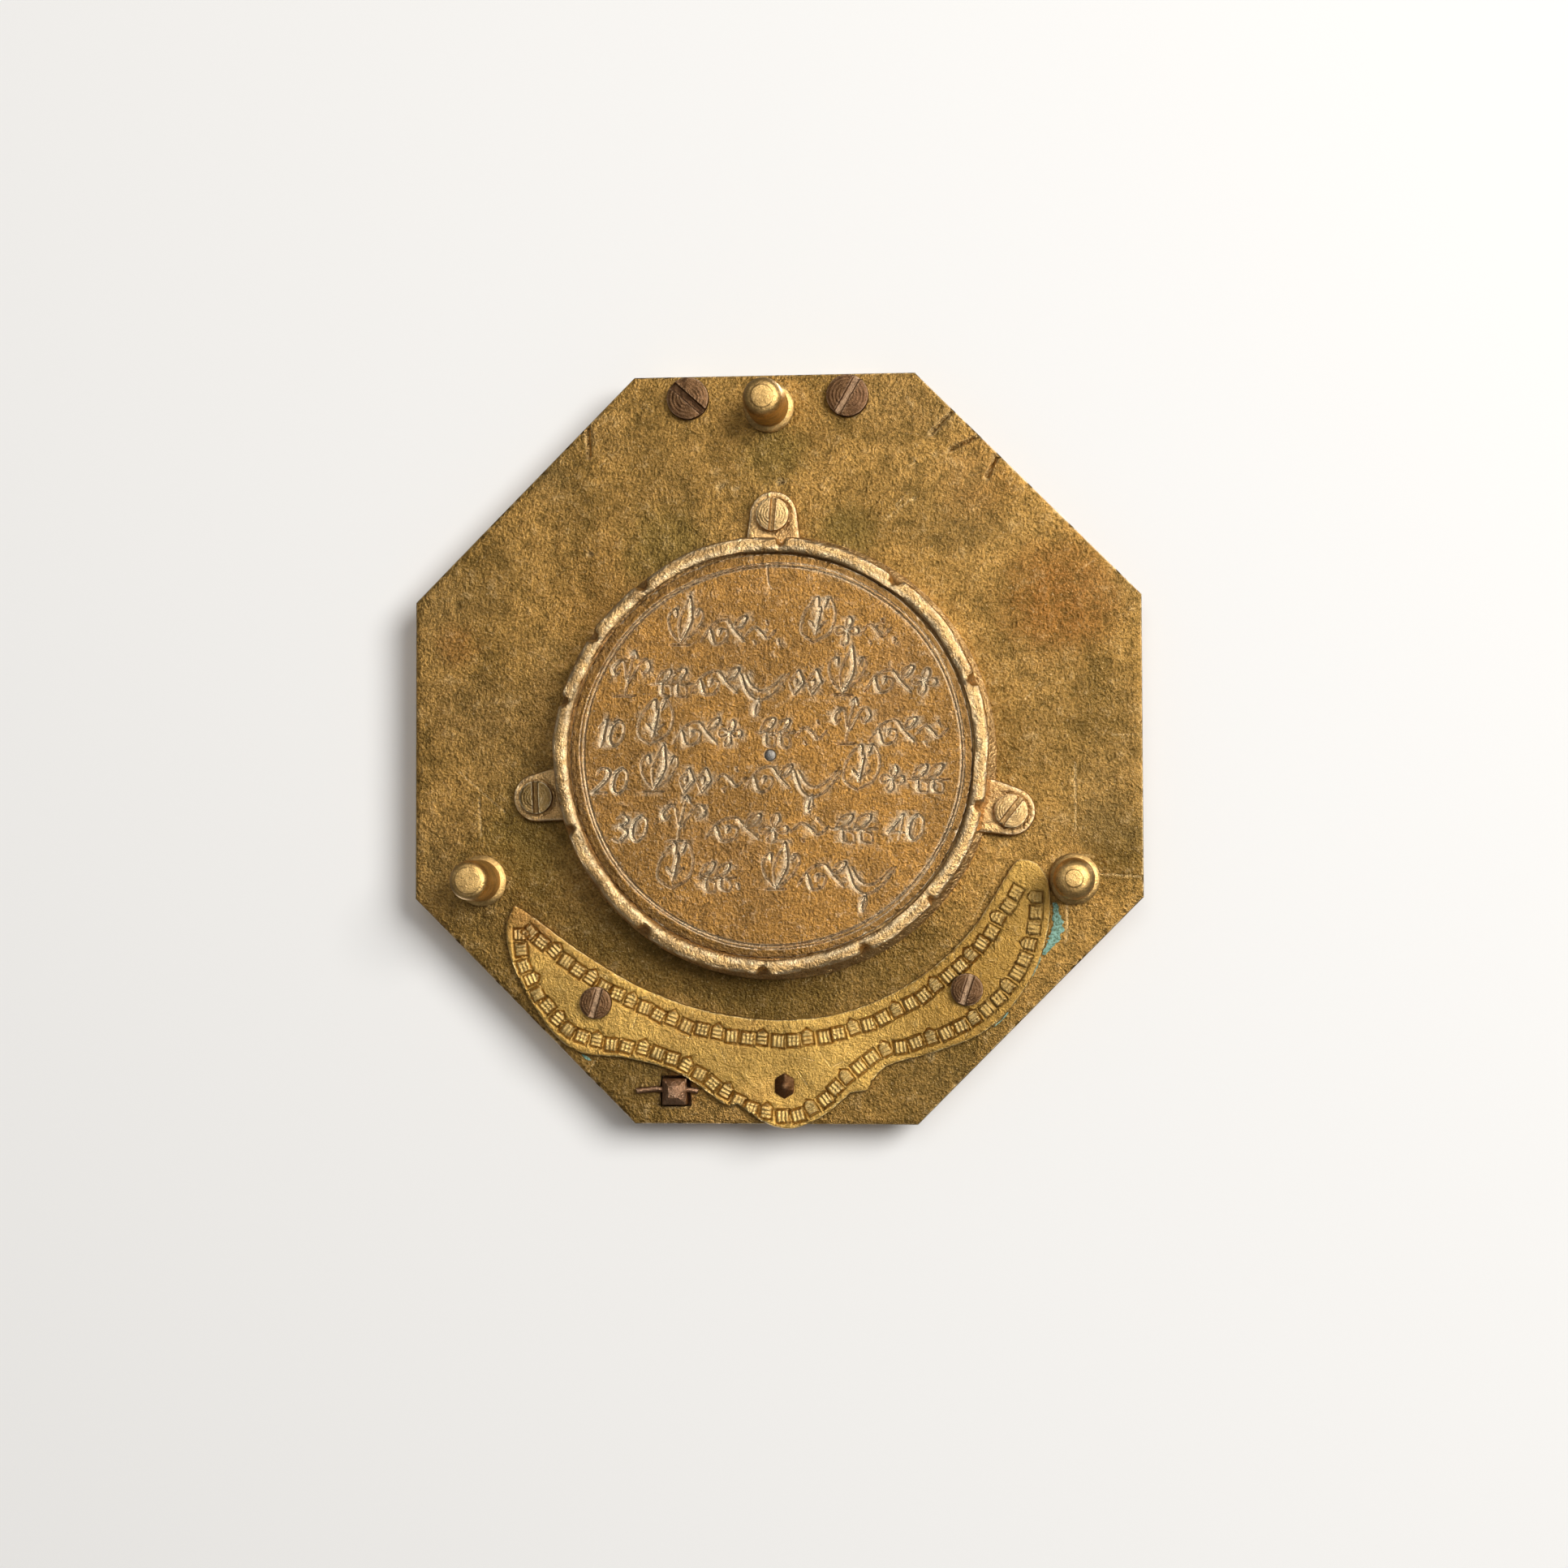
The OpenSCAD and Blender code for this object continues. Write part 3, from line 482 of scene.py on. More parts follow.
class Tree:
    """Small helper that adds nodes to a material and links them."""

    def __init__(self, name):
        self.material = bpy.data.materials.new(name)
        self.material.use_nodes = True
        self.nodes = self.material.node_tree.nodes
        self.links = self.material.node_tree.links
        self.nodes.clear()
        self.out = self.nodes.new("ShaderNodeOutputMaterial")
        self.coords = self.nodes.new("ShaderNodeTexCoord").outputs["Object"]

    def put(self, value, socket):
        if isinstance(value, bpy.types.NodeSocket):
            self.links.new(value, socket)
        else:
            socket.default_value = value

    def math(self, op, a, b=0.0, clamp=False):
        n = self.nodes.new("ShaderNodeMath")
        n.operation = op
        n.use_clamp = clamp
        self.put(a, n.inputs[0])
        self.put(b, n.inputs[1])
        return n.outputs[0]

    def noise(self, size_mm, detail=3.0, roughness=0.55, distortion=0.0):
        n = self.nodes.new("ShaderNodeTexNoise")
        for key, value in (("Scale", 1 / (size_mm * MM)), ("Detail", detail), ("Roughness", roughness),
                           ("Distortion", distortion)):
            n.inputs[key].default_value = value
        self.links.new(self.coords, n.inputs["Vector"])
        return n.outputs[0]

    def ramp(self, value, low, high):
        """Smooth step of a value between two thresholds."""
        n = self.nodes.new("ShaderNodeMapRange")
        n.interpolation_type = "SMOOTHSTEP"
        self.put(value, n.inputs[0])
        n.inputs[1].default_value = low
        n.inputs[2].default_value = high
        return n.outputs[0]

    def mix(self, factor, a, b):
        n = self.nodes.new("ShaderNodeMix")
        n.data_type = "RGBA"
        self.put(factor, n.inputs[0])
        for value, socket in ((a, n.inputs[6]), (b, n.inputs[7])):
            self.put(value if isinstance(value, bpy.types.NodeSocket) else (*value, 1.0), socket)
        return n.outputs[2]

    def tint(self, colour, other, mask, amount):
        """The colour turned towards another by an amount, where the mask is."""
        return self.mix(self.math("MULTIPLY", mask, amount), colour, other)

    def blend(self, factor, a, b):
        n = self.nodes.new("ShaderNodeMixShader")
        for i, value in enumerate((factor, a, b)):
            self.links.new(value, n.inputs[i])
        return n.outputs[0]

    def shade(self, kind, colour):
        """A simple shader of one colour."""
        n = self.nodes.new(kind)
        n.inputs[0].default_value = colour
        return n.outputs[0]

    def mask(self, name):
        n = self.nodes.new("ShaderNodeAttribute")
        n.attribute_name = name
        return n.outputs["Fac"]

    def spot(self, x, y, radius, ragged=0.5, soft=0.6):
        """A ragged round patch about (x, y) in plan."""
        n = self.nodes.new("ShaderNodeSeparateXYZ")
        self.links.new(self.coords, n.inputs[0])
        dx = self.math("SUBTRACT", n.outputs[0], x * MM)
        dy = self.math("SUBTRACT", n.outputs[1], y * MM)
        square = self.math("ADD", self.math("MULTIPLY", dx, dx), self.math("MULTIPLY", dy, dy))
        far = self.math("DIVIDE", self.math("SQRT", square), radius * MM)
        wave = self.math("MULTIPLY", self.math("SUBTRACT", self.noise(radius * 0.5, 5), 0.5), ragged * 2)
        return self.ramp(self.math("ADD", far, wave), 1 + soft, 1 - soft)

    def bump(self, height, strength, distance_mm, below=None):
        n = self.nodes.new("ShaderNodeBump")
        n.inputs["Strength"].default_value = strength
        n.inputs["Distance"].default_value = distance_mm * MM
        self.links.new(height, n.inputs["Height"])
        if below is not None:
            self.links.new(below, n.inputs["Normal"])
        return n.outputs[0]

    def finish(self, colour, roughness, metallic, normal, **uniform):
        """Adds the surface shader; a colour or a number that is uniform is set on its socket."""
        shader = self.nodes.new("ShaderNodeBsdfPrincipled")
        self.links.new(shader.outputs[0], self.out.inputs[0])
        self.put(colour if isinstance(colour, bpy.types.NodeSocket) else (*colour, 1.0),
                 shader.inputs["Base Color"])
        self.put(roughness, shader.inputs["Roughness"])
        self.put(metallic, shader.inputs["Metallic"])
        self.links.new(normal, shader.inputs["Normal"])
        for key, value in uniform.items():
            shader.inputs[key.replace("_", " ")].default_value = value
        return self.material


def aged_metal(name, base, dark, warm, light, grain_mm, grain, rough, stains, relief_masks=False, spots=(),
               texture=1.0, cloud_mm=7.0, fill=None):
    """Old metal: stains, warm patches, grain, pits, fresh walls in the cuts and brighter worn rims.

    Spots are patches of another colour, of patina or of painted shade: colour, x, y, radius and amount.
    """
    t = Tree(name)
    clouds = t.ramp(t.noise(cloud_mm, 4, 0.6), 0.38, 0.66)
    colour = t.tint(base, dark, clouds, stains)
    glow = t.ramp(t.noise(cloud_mm * 1.6, 3, 0.5, 0.4), 0.52, 0.72)
    colour = t.tint(colour, warm, glow, 0.55)
    for patch, x, y, radius, amount in spots:
        colour = t.tint(colour, patch, t.spot(x, y, radius), amount)
    blotch = t.noise(grain_mm * 5, 4, 0.65)
    colour = t.tint(colour, dark, t.ramp(blotch, 0.54, 0.34), grain)
    colour = t.tint(colour, light, t.ramp(blotch, 0.54, 0.74), grain * 0.5)
    fine = t.noise(grain_mm, 3, 0.7)
    colour = t.tint(colour, dark, t.ramp(fine, 0.6, 0.36), grain * 1.2)
    colour = t.tint(colour, light, t.ramp(t.noise(grain_mm * 1.3, 2, 0.8), 0.60, 0.72), grain * 0.6)
    uneven = t.math("MULTIPLY", t.math("SUBTRACT", t.noise(2.2, 4), 0.5), 0.22)
    roughness = t.math("ADD", uneven, rough, clamp=True)
    if relief_masks:
        cut = t.mask("cut")
        fresh = t.ramp(cut, 0.05, 0.4)
        colour = t.tint(colour, light, fresh, 0.25)
        colour = t.tint(colour, dark, t.ramp(cut, 0.35, 1.0), 0.8)
        if fill is not None:
            colour = t.mix(t.ramp(cut, 0.1, 0.5), colour, fill)
        roughness = t.math("SUBTRACT", roughness, t.math("MULTIPLY", fresh, 0.12), clamp=True)
        # The dark mask: dark screw slots, stamp outlines and the disc's dull rim, and painted shade in the
        # creases of the cup's lip
        colour = t.tint(colour, dark, t.mask("dark"), 0.8)
        rubbed = t.math("MULTIPLY", t.mask("rim"), t.ramp(t.noise(0.8, 3), 0.3, 0.6))
        bright = t.math("MULTIPLY", t.mask("bright"), 0.4)
        colour = t.mix(t.math("ADD", t.math("MULTIPLY", rubbed, 0.7), bright, clamp=True), colour, light)
        side = t.mask("side")
        colour = t.tint(colour, dark, side, 0.75)
        roughness = t.math("ADD", roughness, t.math("MULTIPLY", side, 0.25), clamp=True)
    rough_skin = t.bump(t.noise(1.6, 3), 0.35 * texture, 0.05)
    pits = t.bump(blotch, 0.6 * texture, grain_mm * 1.2, rough_skin)
    normal = t.bump(fine, 0.8 * texture, grain_mm * 0.6, pits)
    return t.finish(colour, roughness, 1.0, normal)


OLIVE = (0.53, 0.294, 0.078)
OLIVE_DARK = (0.085, 0.053, 0.014)
ORANGE = (0.38, 0.165, 0.038)
PALE = (0.86, 0.68, 0.38)
SILVERY = (0.92, 0.78, 0.55)
# Colour of the spots of painted shade
SHADE = (0.15, 0.09, 0.022)
TAN = (0.54, 0.268, 0.064)
TAN_DARK = (0.15, 0.085, 0.032)
YELLOW = (0.80, 0.48, 0.12)
YELLOW_DARK = (0.22, 0.13, 0.035)
GILT = (0.92, 0.59, 0.215)
GILT_DARK = (0.24, 0.13, 0.04)
COPPER = (0.24, 0.125, 0.055)
COPPER_DARK = (0.045, 0.022, 0.012)
COPPER_LIGHT = (0.52, 0.34, 0.20)
GREENISH = (0.20, 0.14, 0.035)

# Metals: base, dark, warm and light colours, grain size in mm, grain, roughness, stains, and True for those
# that read a relief's masks
plate_metal = aged_metal(
    "plate_metal", OLIVE, OLIVE_DARK, (0.42, 0.24, 0.075), (0.90, 0.64, 0.30),
    0.22, 0.50, 0.40, 0.45, True,
    # The SHADE spots paint the cup's cast shadow on the plate south of the cup and at the east lug; the
    # others darken the plate along its south and west edges.
    spots=(
        (ORANGE, -23.6, 12.2, 4.2, 0.9), (ORANGE, 26.8, 8.8, 1.6, 0.6), (ORANGE, 13, 12, 5, 0.25),
        (GREENISH, 9, 16.5, 3.2, 0.7), (GREENISH, -6, 17.5, 2.4, 0.6), (GREENISH, 21, -8, 4.0, 0.55),
        (GREENISH, 0, 24.5, 2.6, 0.6), (ORANGE, -17, 22, 3.0, 0.35), (SHADE, 12, -17.5, 5.5, 0.75),
        (SHADE, 0, -20, 6.0, 0.75), (SHADE, -10, -17.5, 5.0, 0.6), (SHADE, 23, -16, 5.5, 0.6),
        (SHADE, 12, -29, 5.0, 0.6), (SHADE, -14, -27.5, 6.0, 0.6), (SHADE, 19, -4, 4.0, 0.4),
        (SHADE, -26, 1, 5.0, 0.35), (SHADE, -28, -8, 3.5, 0.7),
    ),
)
disc_metal = aged_metal(
    "disc_metal", TAN, TAN_DARK, (0.46, 0.24, 0.08), SILVERY, 0.20, 0.46, 0.38, 0.4, True,
)
cup_metal = aged_metal(
    "cup_metal", (0.88, 0.55, 0.22), (0.20, 0.10, 0.032), (0.80, 0.46, 0.17), (1.0, 0.82, 0.52),
    0.22, 0.30, 0.34, 0.45, True, cloud_mm=2.5,
)
crescent_metal = aged_metal(
    "crescent_metal", YELLOW, YELLOW_DARK, (0.56, 0.29, 0.08), (0.92, 0.74, 0.36),
    0.17, 0.26, 0.36, 0.4, True,
    spots=(((0.38, 0.21, 0.045), -17, -19, 9.0, 0.85), ((0.42, 0.20, 0.06), 20, -14, 2.5, 0.7)),
)
foot_metal = aged_metal(
    "foot_metal", GILT, GILT_DARK, (0.74, 0.42, 0.14), (1.0, 0.84, 0.52), 0.14, 0.34, 0.44, 0.5,
    texture=0.6, cloud_mm=2.0,
)
screw_metal = aged_metal(
    "screw_metal", COPPER, COPPER_DARK, (0.20, 0.10, 0.05), COPPER_LIGHT, 0.12, 0.3, 0.36, 0.4, True,
)
lug_screw_metal = aged_metal(
    "lug_screw_metal", (0.92, 0.60, 0.25), TAN_DARK, (0.80, 0.48, 0.18), (1.0, 0.85, 0.55),
    # The SHADE spot is the cup's painted shadow on the east lug screw.
    0.13, 0.3, 0.34, 0.4, True, spots=((SHADE, 19.7, -3.5, 3.0, 0.8),), cloud_mm=2.0,
)
dial_metal = aged_metal(
    "dial_metal", (0.62, 0.43, 0.16), YELLOW_DARK, (0.66, 0.42, 0.16), PALE, 0.13, 0.2, 0.32, 0.3, True,
    fill=(0.03, 0.022, 0.014),
)
steel_metal = aged_metal(
    "steel_metal", (0.34, 0.31, 0.27), (0.10, 0.08, 0.06), (0.30, 0.22, 0.15), (0.7, 0.68, 0.64),
    0.12, 0.25, 0.34, 0.4,
)
blue_metal = aged_metal(
    "blue_metal", (0.05, 0.08, 0.20), (0.02, 0.02, 0.05), (0.12, 0.07, 0.16), (0.3, 0.35, 0.5),
    0.12, 0.15, 0.25, 0.3,
)
tang_metal = aged_metal(
    "tang_metal", (0.52, 0.29, 0.16), COPPER_DARK, (0.58, 0.33, 0.18), (0.95, 0.72, 0.50),
    0.14, 0.35, 0.30, 0.4,
)


def card_material():
    t = Tree("card_paint")
    stains = t.ramp(t.noise(5, 4), 0.35, 0.75)
    colour = t.mix(stains, (0.74, 0.68, 0.52), (0.58, 0.49, 0.32))
    normal = t.bump(t.noise(0.25, 4), 0.3, 0.03)
    return t.finish(colour, 0.7, 0.0, normal)


def ink_material(name, colour):
    t = Tree(name)
    faded = t.mix(t.ramp(t.noise(0.5, 4), 0.35, 0.7), colour, tuple(c * 1.6 + 0.04 for c in colour))
    return t.finish(faded, 0.6, 0.0, t.bump(t.noise(0.2, 3), 0.2, 0.02))


def glass_material():
    t = Tree("old_glass")
    normal = t.bump(t.noise(6, 2), 0.08, 0.1)
    return t.finish((0.93, 0.96, 0.93), 0.03, 0.0, normal, Transmission_Weight=1.0, IOR=1.5)


def verdigris_material():
    t = Tree("verdigris")
    grains = t.noise(0.22, 4, 0.7)
    colour = t.mix(t.ramp(grains, 0.35, 0.62), (0.10, 0.17, 0.10), (0.30, 0.52, 0.42))
    return t.finish(colour, 0.85, 0.0, t.bump(grains, 0.9, 0.08))


card_paint = card_material()
ink_dark = ink_material("ink_dark", (0.03, 0.03, 0.03))
ink_red = ink_material("ink_red", (0.36, 0.05, 0.03))
ink_green = ink_material("ink_green", (0.05, 0.16, 0.09))
old_glass = glass_material()
verdigris = verdigris_material()


# ---- engraver's strokes

# Pens: width of a thin and of a thick stroke, depth, burr and step along the line
BROAD_PEN = (0.17, 0.37, 0.14, 0.012, 0.12)
SCROLL_PEN = (0.12, 0.3, 0.08, 0.008, 0.15)
DISC_PEN = (0.18, 0.38, 0.12, 0.016, 0.06)
HOUR_PEN = (0.12, 0.3, 0.07, 0.008, 0.06)
ARC_PEN = (0.1, 0.22, 0.06, 0.006, 0.06)
SLANT = 0.22

# Strokes of the numerals, one unit high
HEAD_SERIFS = [[(-0.1, 1), (0.16, 1)], [(0.44, 1), (0.7, 1)]]
FOOT_SERIFS = [[(-0.1, 0), (0.16, 0)], [(0.44, 0), (0.7, 0)]]
DIGITS = {
    "0": [[(0.3, 1), (0.06, 0.75), (0.06, 0.25), (0.3, 0), (0.54, 0.25), (0.54, 0.75), (0.3, 1)]],
    "1": [[(0.12, 0.72), (0.36, 1), (0.36, 1), (0.34, 0)]],
    "2": [[(0.06, 0.75), (0.2, 0.98), (0.5, 0.9), (0.48, 0.55), (0.04, 0.03), (0.04, 0.03), (0.6, 0.05)]],
    "3": [[(0.06, 0.88), (0.3, 1), (0.52, 0.8), (0.26, 0.56), (0.26, 0.56), (0.56, 0.34), (0.32, 0),
           (0.02, 0.1)]],
    "4": [[(0.44, 0), (0.44, 1), (0.44, 1), (0, 0.3), (0, 0.3), (0.62, 0.3)]],
    "5": [[(0.54, 1), (0.14, 1), (0.14, 1), (0.1, 0.58), (0.1, 0.58), (0.4, 0.6), (0.54, 0.3), (0.3, 0),
           (0.02, 0.08)]],
    "6": [[(0.5, 0.98), (0.16, 0.66), (0.06, 0.28), (0.3, 0), (0.54, 0.26), (0.32, 0.52), (0.08, 0.34)]],
    "7": [[(0.02, 0.98), (0.56, 0.98), (0.56, 0.98), (0.2, 0)]],
    "8": [[(0.3, 0.54), (0.08, 0.78), (0.3, 1), (0.52, 0.78), (0.3, 0.54), (0.04, 0.26), (0.3, 0),
           (0.56, 0.26), (0.3, 0.54)]],
    "I": [[(0.2, 0), (0.2, 1)], [(0.04, 0), (0.36, 0)], [(0.04, 1), (0.36, 1)]],
    "V": [[(0.02, 1), (0.3, 0)], [(0.58, 1), (0.3, 0)]] + HEAD_SERIFS,
    "X": [[(0.02, 1), (0.58, 0)], [(0.58, 1), (0.02, 0)]] + HEAD_SERIFS + FOOT_SERIFS,
}
# Width of a numeral and the space after it
ADVANCE = dict.fromkeys(DIGITS, 0.72) | {"1": 0.56, "I": 0.48}


def shifted(stroke, by):
    return [(x + by, y) for x, y in stroke]


def mirrored(stroke, middle):
    return [(2 * middle - x, y) for x, y in stroke]


EAR = [(0.2, 0.5), (0.36, 0.98), (0.76, 1.06), (0.62, 0.66), (0.2, 0.5)]
LOW_EAR = [(0.5, 0.46), (0.62, 0.02), (1.04, -0.06), (0.94, 0.32), (0.5, 0.46)]
LOZENGE = [(0.1, 0.5), (0.1, 0.5), (0.42, 1), (0.42, 1), (0.74, 0.5), (0.74, 0.5), (0.42, 0), (0.42, 0),
           (0.1, 0.5)]
BEAD = [(0.42, 0.62), (0.42, 0.4)]
LEAF = [(0.84, 0.1), (0.3, 0.6), (0.06, 1.2), (0.3, 1.5), (0.44, 1.2)]
PETAL = [(0.9, 0.06), (0.2, 0.5), (0.16, 1.3), (0.6, 1.95), (0.76, 1.5)]

# Pen ornaments, drawn one unit to the height of a small sign: width, then strokes
RUNNING = {
    "rinceau": (2.1, [[(0, 0.1), (0.4, 0.8), (1.0, 1.0), (1.5, 0.56), (2.1, 0.1)],
                      [(0.3, 0.66), (0.66, 0.06), (1.12, 0.12), (1.2, 0.52), (0.86, 0.64), (0.8, 0.4)],
                      [(1.46, 0.6), (1.6, 1.0), (1.96, 1.1), (1.8, 0.72), (1.46, 0.6)]]),
    "wheat": (1.9, [[(0, 0.5), (1.0, 0.46), (1.9, 0.5)],
                    EAR, shifted(EAR, 0.7), LOW_EAR, shifted(LOW_EAR, 0.7)]),
    "chain": (1.7, [LOZENGE, shifted(LOZENGE, 0.8), BEAD, shifted(BEAD, 0.8)]),
    "tilde": (1.5, [[(0, 0.36), (0.34, 0.72), (0.74, 0.5), (1.1, 0.24), (1.44, 0.6)],
                    [(0.5, 0.1), (0.6, 0)], [(0.9, 0.96), (1.0, 0.84)]]),
    "rosette": (1.2, [[(0.5, 0.5), (0.36, 0.84), (0.5, 1.06), (0.64, 0.84), (0.5, 0.5)],
                      [(0.5, 0.5), (0.9, 0.62), (1.04, 0.44), (0.84, 0.34), (0.5, 0.5)],
                      [(0.5, 0.5), (0.62, 0.12), (0.46, -0.06), (0.34, 0.12), (0.5, 0.5)],
                      [(0.5, 0.5), (0.1, 0.36), (-0.04, 0.56), (0.16, 0.66), (0.5, 0.5)]]),
    "dot": (0.5, [[(0.16, 0.2), (0.22, 0.02)]]),
    "gap": (0.5, []),
    "palmette": (1.9, [[(0.9, 0.1), (0.62, 1.0), (0.9, 2.0), (0.9, 2.0), (1.18, 1.0), (0.9, 0.1)],
                       LEAF, mirrored(LEAF, 0.9), [(0.4, 0), (1.4, 0)]]),
    "fountain": (2.0, [[(0.94, 0), (0.9, 0.9), (0.94, 1.9)],
                       [(0.92, 0.5), (0.5, 1.5), (0.12, 1.2), (0.3, 0.9), (0.44, 1.1)],
                       [(0.94, 0.5), (1.4, 1.5), (1.78, 1.2), (1.56, 0.9), (1.42, 1.1)],
                       [(0.5, 0.02), (1.4, 0.02)], [(0.94, 1.9), (0.8, 1.64)], [(0.94, 1.9), (1.1, 1.64)]]),
    "tulip": (1.9, [PETAL, mirrored(PETAL, 0.9), [(0.9, 1.5), (0.9, 0.4)],
                    [(0.5, 0.9), (0.9, 0.6), (1.3, 0.9)]]),
    "swag": (2.2, [[(0, 0.9), (0.5, 0.1), (1.1, -0.2), (1.7, 0.1), (2.2, 0.9)],
                   [(0.2, 0.9), (0.6, 0.42), (1.1, 0.2), (1.6, 0.42), (2.0, 0.9)],
                   [(1.1, -0.2), (1.0, -0.6), (1.1, -0.9), (1.2, -0.6), (1.1, -0.2)]]),
}


def pen(field, line, to_field, tool):
    """Cuts one stroke; it is thick where the tool moves down and thin where it moves up or across."""
    thin, thick, depth, burr, step = tool
    line = even_steps(open_curve(line), step / to_field.scale)
    move = np.gradient(line, axis=0)
    share = np.clip(-move[:, 1] / np.maximum(np.linalg.norm(move, axis=1), 1e-9), 0, 1) ** 1.5
    widths = thin + (thick - thin) * share
    ends = np.minimum(np.arange(len(line)), np.arange(len(line))[::-1])
    widths *= np.clip(0.55 + ends * 0.2, 0, 1)
    field.groove(to_field(line), widths, depth, burr)


class Layout:
    """Maps drawing units to field millimetres: scale, slant, mirror and turn."""

    def __init__(self, x, y, scale, slant=0.0, turn_deg=0.0, mirror=False):
        self.x, self.y, self.scale, self.slant, self.mirror = x, y, scale, slant, mirror
        self.c, self.s = math.cos(math.radians(turn_deg)), math.sin(math.radians(turn_deg))

    def __call__(self, line):
        p = np.array(line, float) * self.scale
        p[:, 0] += self.slant * p[:, 1]
        p = np.stack([p[:, 0] * self.c - p[:, 1] * self.s, p[:, 0] * self.s + p[:, 1] * self.c], 1)
        p += (self.x, self.y)
        if self.mirror:
            p[:, 0] = -p[:, 0]
        return p


def number(field, text, x, y, height, tool, turn_deg=0.0, slant=0.0, mirror=False):
    """Numerals centred on (x, y)."""
    width = sum(ADVANCE[ch] for ch in text) * height
    a = math.radians(turn_deg)
    x -= math.cos(a) * width / 2 - math.sin(a) * height / 2
    y -= math.sin(a) * width / 2 + math.cos(a) * height / 2
    along = 0.0
    for ch in text:
        to_field = Layout(x + math.cos(a) * along, y + math.sin(a) * along, height, slant, turn_deg, mirror)
        for line in DIGITS[ch]:
            pen(field, line, to_field, tool)
        along += ADVANCE[ch] * height


def flourish_row(field, signs, u0, u1, v, height):
    """A row of ornaments between u0 and u1, seen from below, with its foot at v."""
    widths = [RUNNING[s][0] for s in signs]
    fit = (u1 - u0) / (sum(widths) * height)
    u = u0
    for sign, width in zip(signs, widths):
        for line in RUNNING[sign][1]:
            stretched = [(px * fit, py) for px, py in line]
            jitter = field.rng.uniform(-0.08, 0.08)
            pen(field, stretched, Layout(u, v + jitter, height, SLANT, mirror=True), BROAD_PEN)
        u += width * height * fit


# ---- base plate


def octagon():
    n, e = EDGE_N, EDGE_E
    x, y = plate_half_x, plate_half_y
    return resample([(n, y), (-n, y), (-x, e), (-x, -e), (-n, -y), (n, -y), (x, -e), (x, e)], 0.6)


# Places on the plate, in plan, and sizes of what sits there; a hole has its centre, its sides and the
# spacing of its outline's points
FEET = {"foot_north": (0.4, 28.3), "foot_east": (24.55, -10.9), "foot_west": (-24.55, -10.9)}
FOOT_R, COLLAR_R, SHANK_R = 1.72, 2.1, 0.9
FOOT_FLAT = (0.95, 1.12, 0.72)
LUG_ANGLES = (90, -9.3, 193.2)
# Lugs: radius, distance from the compass centre, thickness, and reach from the screw under the flange
LUG_R, LUG_PITCH, LUG_T, LUG_NECK = 2.0, 20.0, 1.0, 2.4
TANG_HOLE = (8.3, -28.3, 2.5, 2.5, 0.6)
POST_HOLE = (-0.8, -27.8, 1.0, 1.2, 0.4)


def plate_holes():
    return [circle(compass_x, compass_y, WINDOW_R, 180), rectangle(*TANG_HOLE), rectangle(*POST_HOLE)]


# Cuts and scribed lines on the underside: ends, width and depth
PLATE_CUTS = (
    ((15.65, 27.03), (15.51, 24.44), 0.42, 0.30), ((-13.02, 25.9), (-14.83, 27.8), 0.36, 0.24),
    ((-14.62, 24.52), (-16.9, 25.63), 0.34, 0.22), ((-17.61, 22.19), (-18.6, 24.2), 0.36, 0.26),
    ((24.63, -7.16), (24.84, -3.77), 0.12, 0.04), ((-26.3, -10.46), (-30.1, -10.73), 0.12, 0.05),
    ((-24.71, -1.42), (-24.67, -8.06), 0.12, 0.05), ((-23.98, -12.7), (-23.93, -19.98), 0.12, 0.05),
    ((-27.7, 0.88), (-30.1, 0.87), 0.10, 0.03), ((26.5, -1.8), (22.6, -5.2), 0.09, 0.02),
    ((4.67, 21.74), (4.3, 21.9), 0.35, 0.12), ((3.4, 21.5), (3.0, 21.6), 0.25, 0.10),
    ((-0.41, 22.0), (-0.9, 22.1), 0.32, 0.11), ((15.52, 16.28), (15.3, 16.3), 0.30, 0.12),
    ((-6.5, 14.9), (-7.5, 14.2), 0.2, 0.04), ((8.4, -16.8), (10.6, -15.6), 0.14, 0.03),
)


def plate_field(seed):
    reach_x, reach_y = plate_half_x + 1, plate_half_y + 1
    return Field((-reach_x, -reach_y), (reach_x, reach_y), cell=0.1, seed=seed)


def plate_underside():
    """Uneven, dented and scratched face, with its deeper cuts."""
    f = plate_field(5)
    f.h += f.noise(9, 0.035) + f.noise(3.5, 0.016) + f.noise(1.3, 0.008)
    f.bright += 0.12 * np.maximum(0, f.noise(5, 1.0)) ** 2
    for start, end, width, depth in PLATE_CUTS:
        f.groove([start, end], [width, width * 0.7], depth, 0.012)
    f.pepper(210, 30, (0.12, 0.34), (0.01, 0.045))
    for _ in range(46):
        x, y, a = f.rng.uniform(-28, 28), f.rng.uniform(-28, 28), f.rng.uniform(0.5, 1.1)
        length = f.rng.uniform(0.8, 3.2)
        end = (x + length * math.cos(a), y - length * math.sin(a))
        f.groove([(x, y), end], [0.1, 0.05], 0.012)
    return f


SCROLL = (
    [(0, 0), (0.5, 0.5), (1.4, 0.62), (2.1, 0.2), (1.9, -0.25), (1.5, -0.1), (1.62, 0.14)],
    [(0.6, 0.52), (0.7, 1.0), (1.15, 1.2), (1.4, 0.95), (1.15, 0.85)],
    [(1.9, 0.4), (2.5, 0.6), (3.0, 0.3), (2.7, 0.1)],
    [(0, 0.2), (0.16, 0.8), (0, 1.5), (0, 1.5)],
)


def corner_scroll(field, x, y, turn_deg, size):
    """Symmetric foliage for a corner of the upper face."""
    for line in SCROLL + tuple(mirrored(line, 0) for line in SCROLL):
        pen(field, line, Layout(x, y, size, turn_deg=turn_deg), SCROLL_PEN)


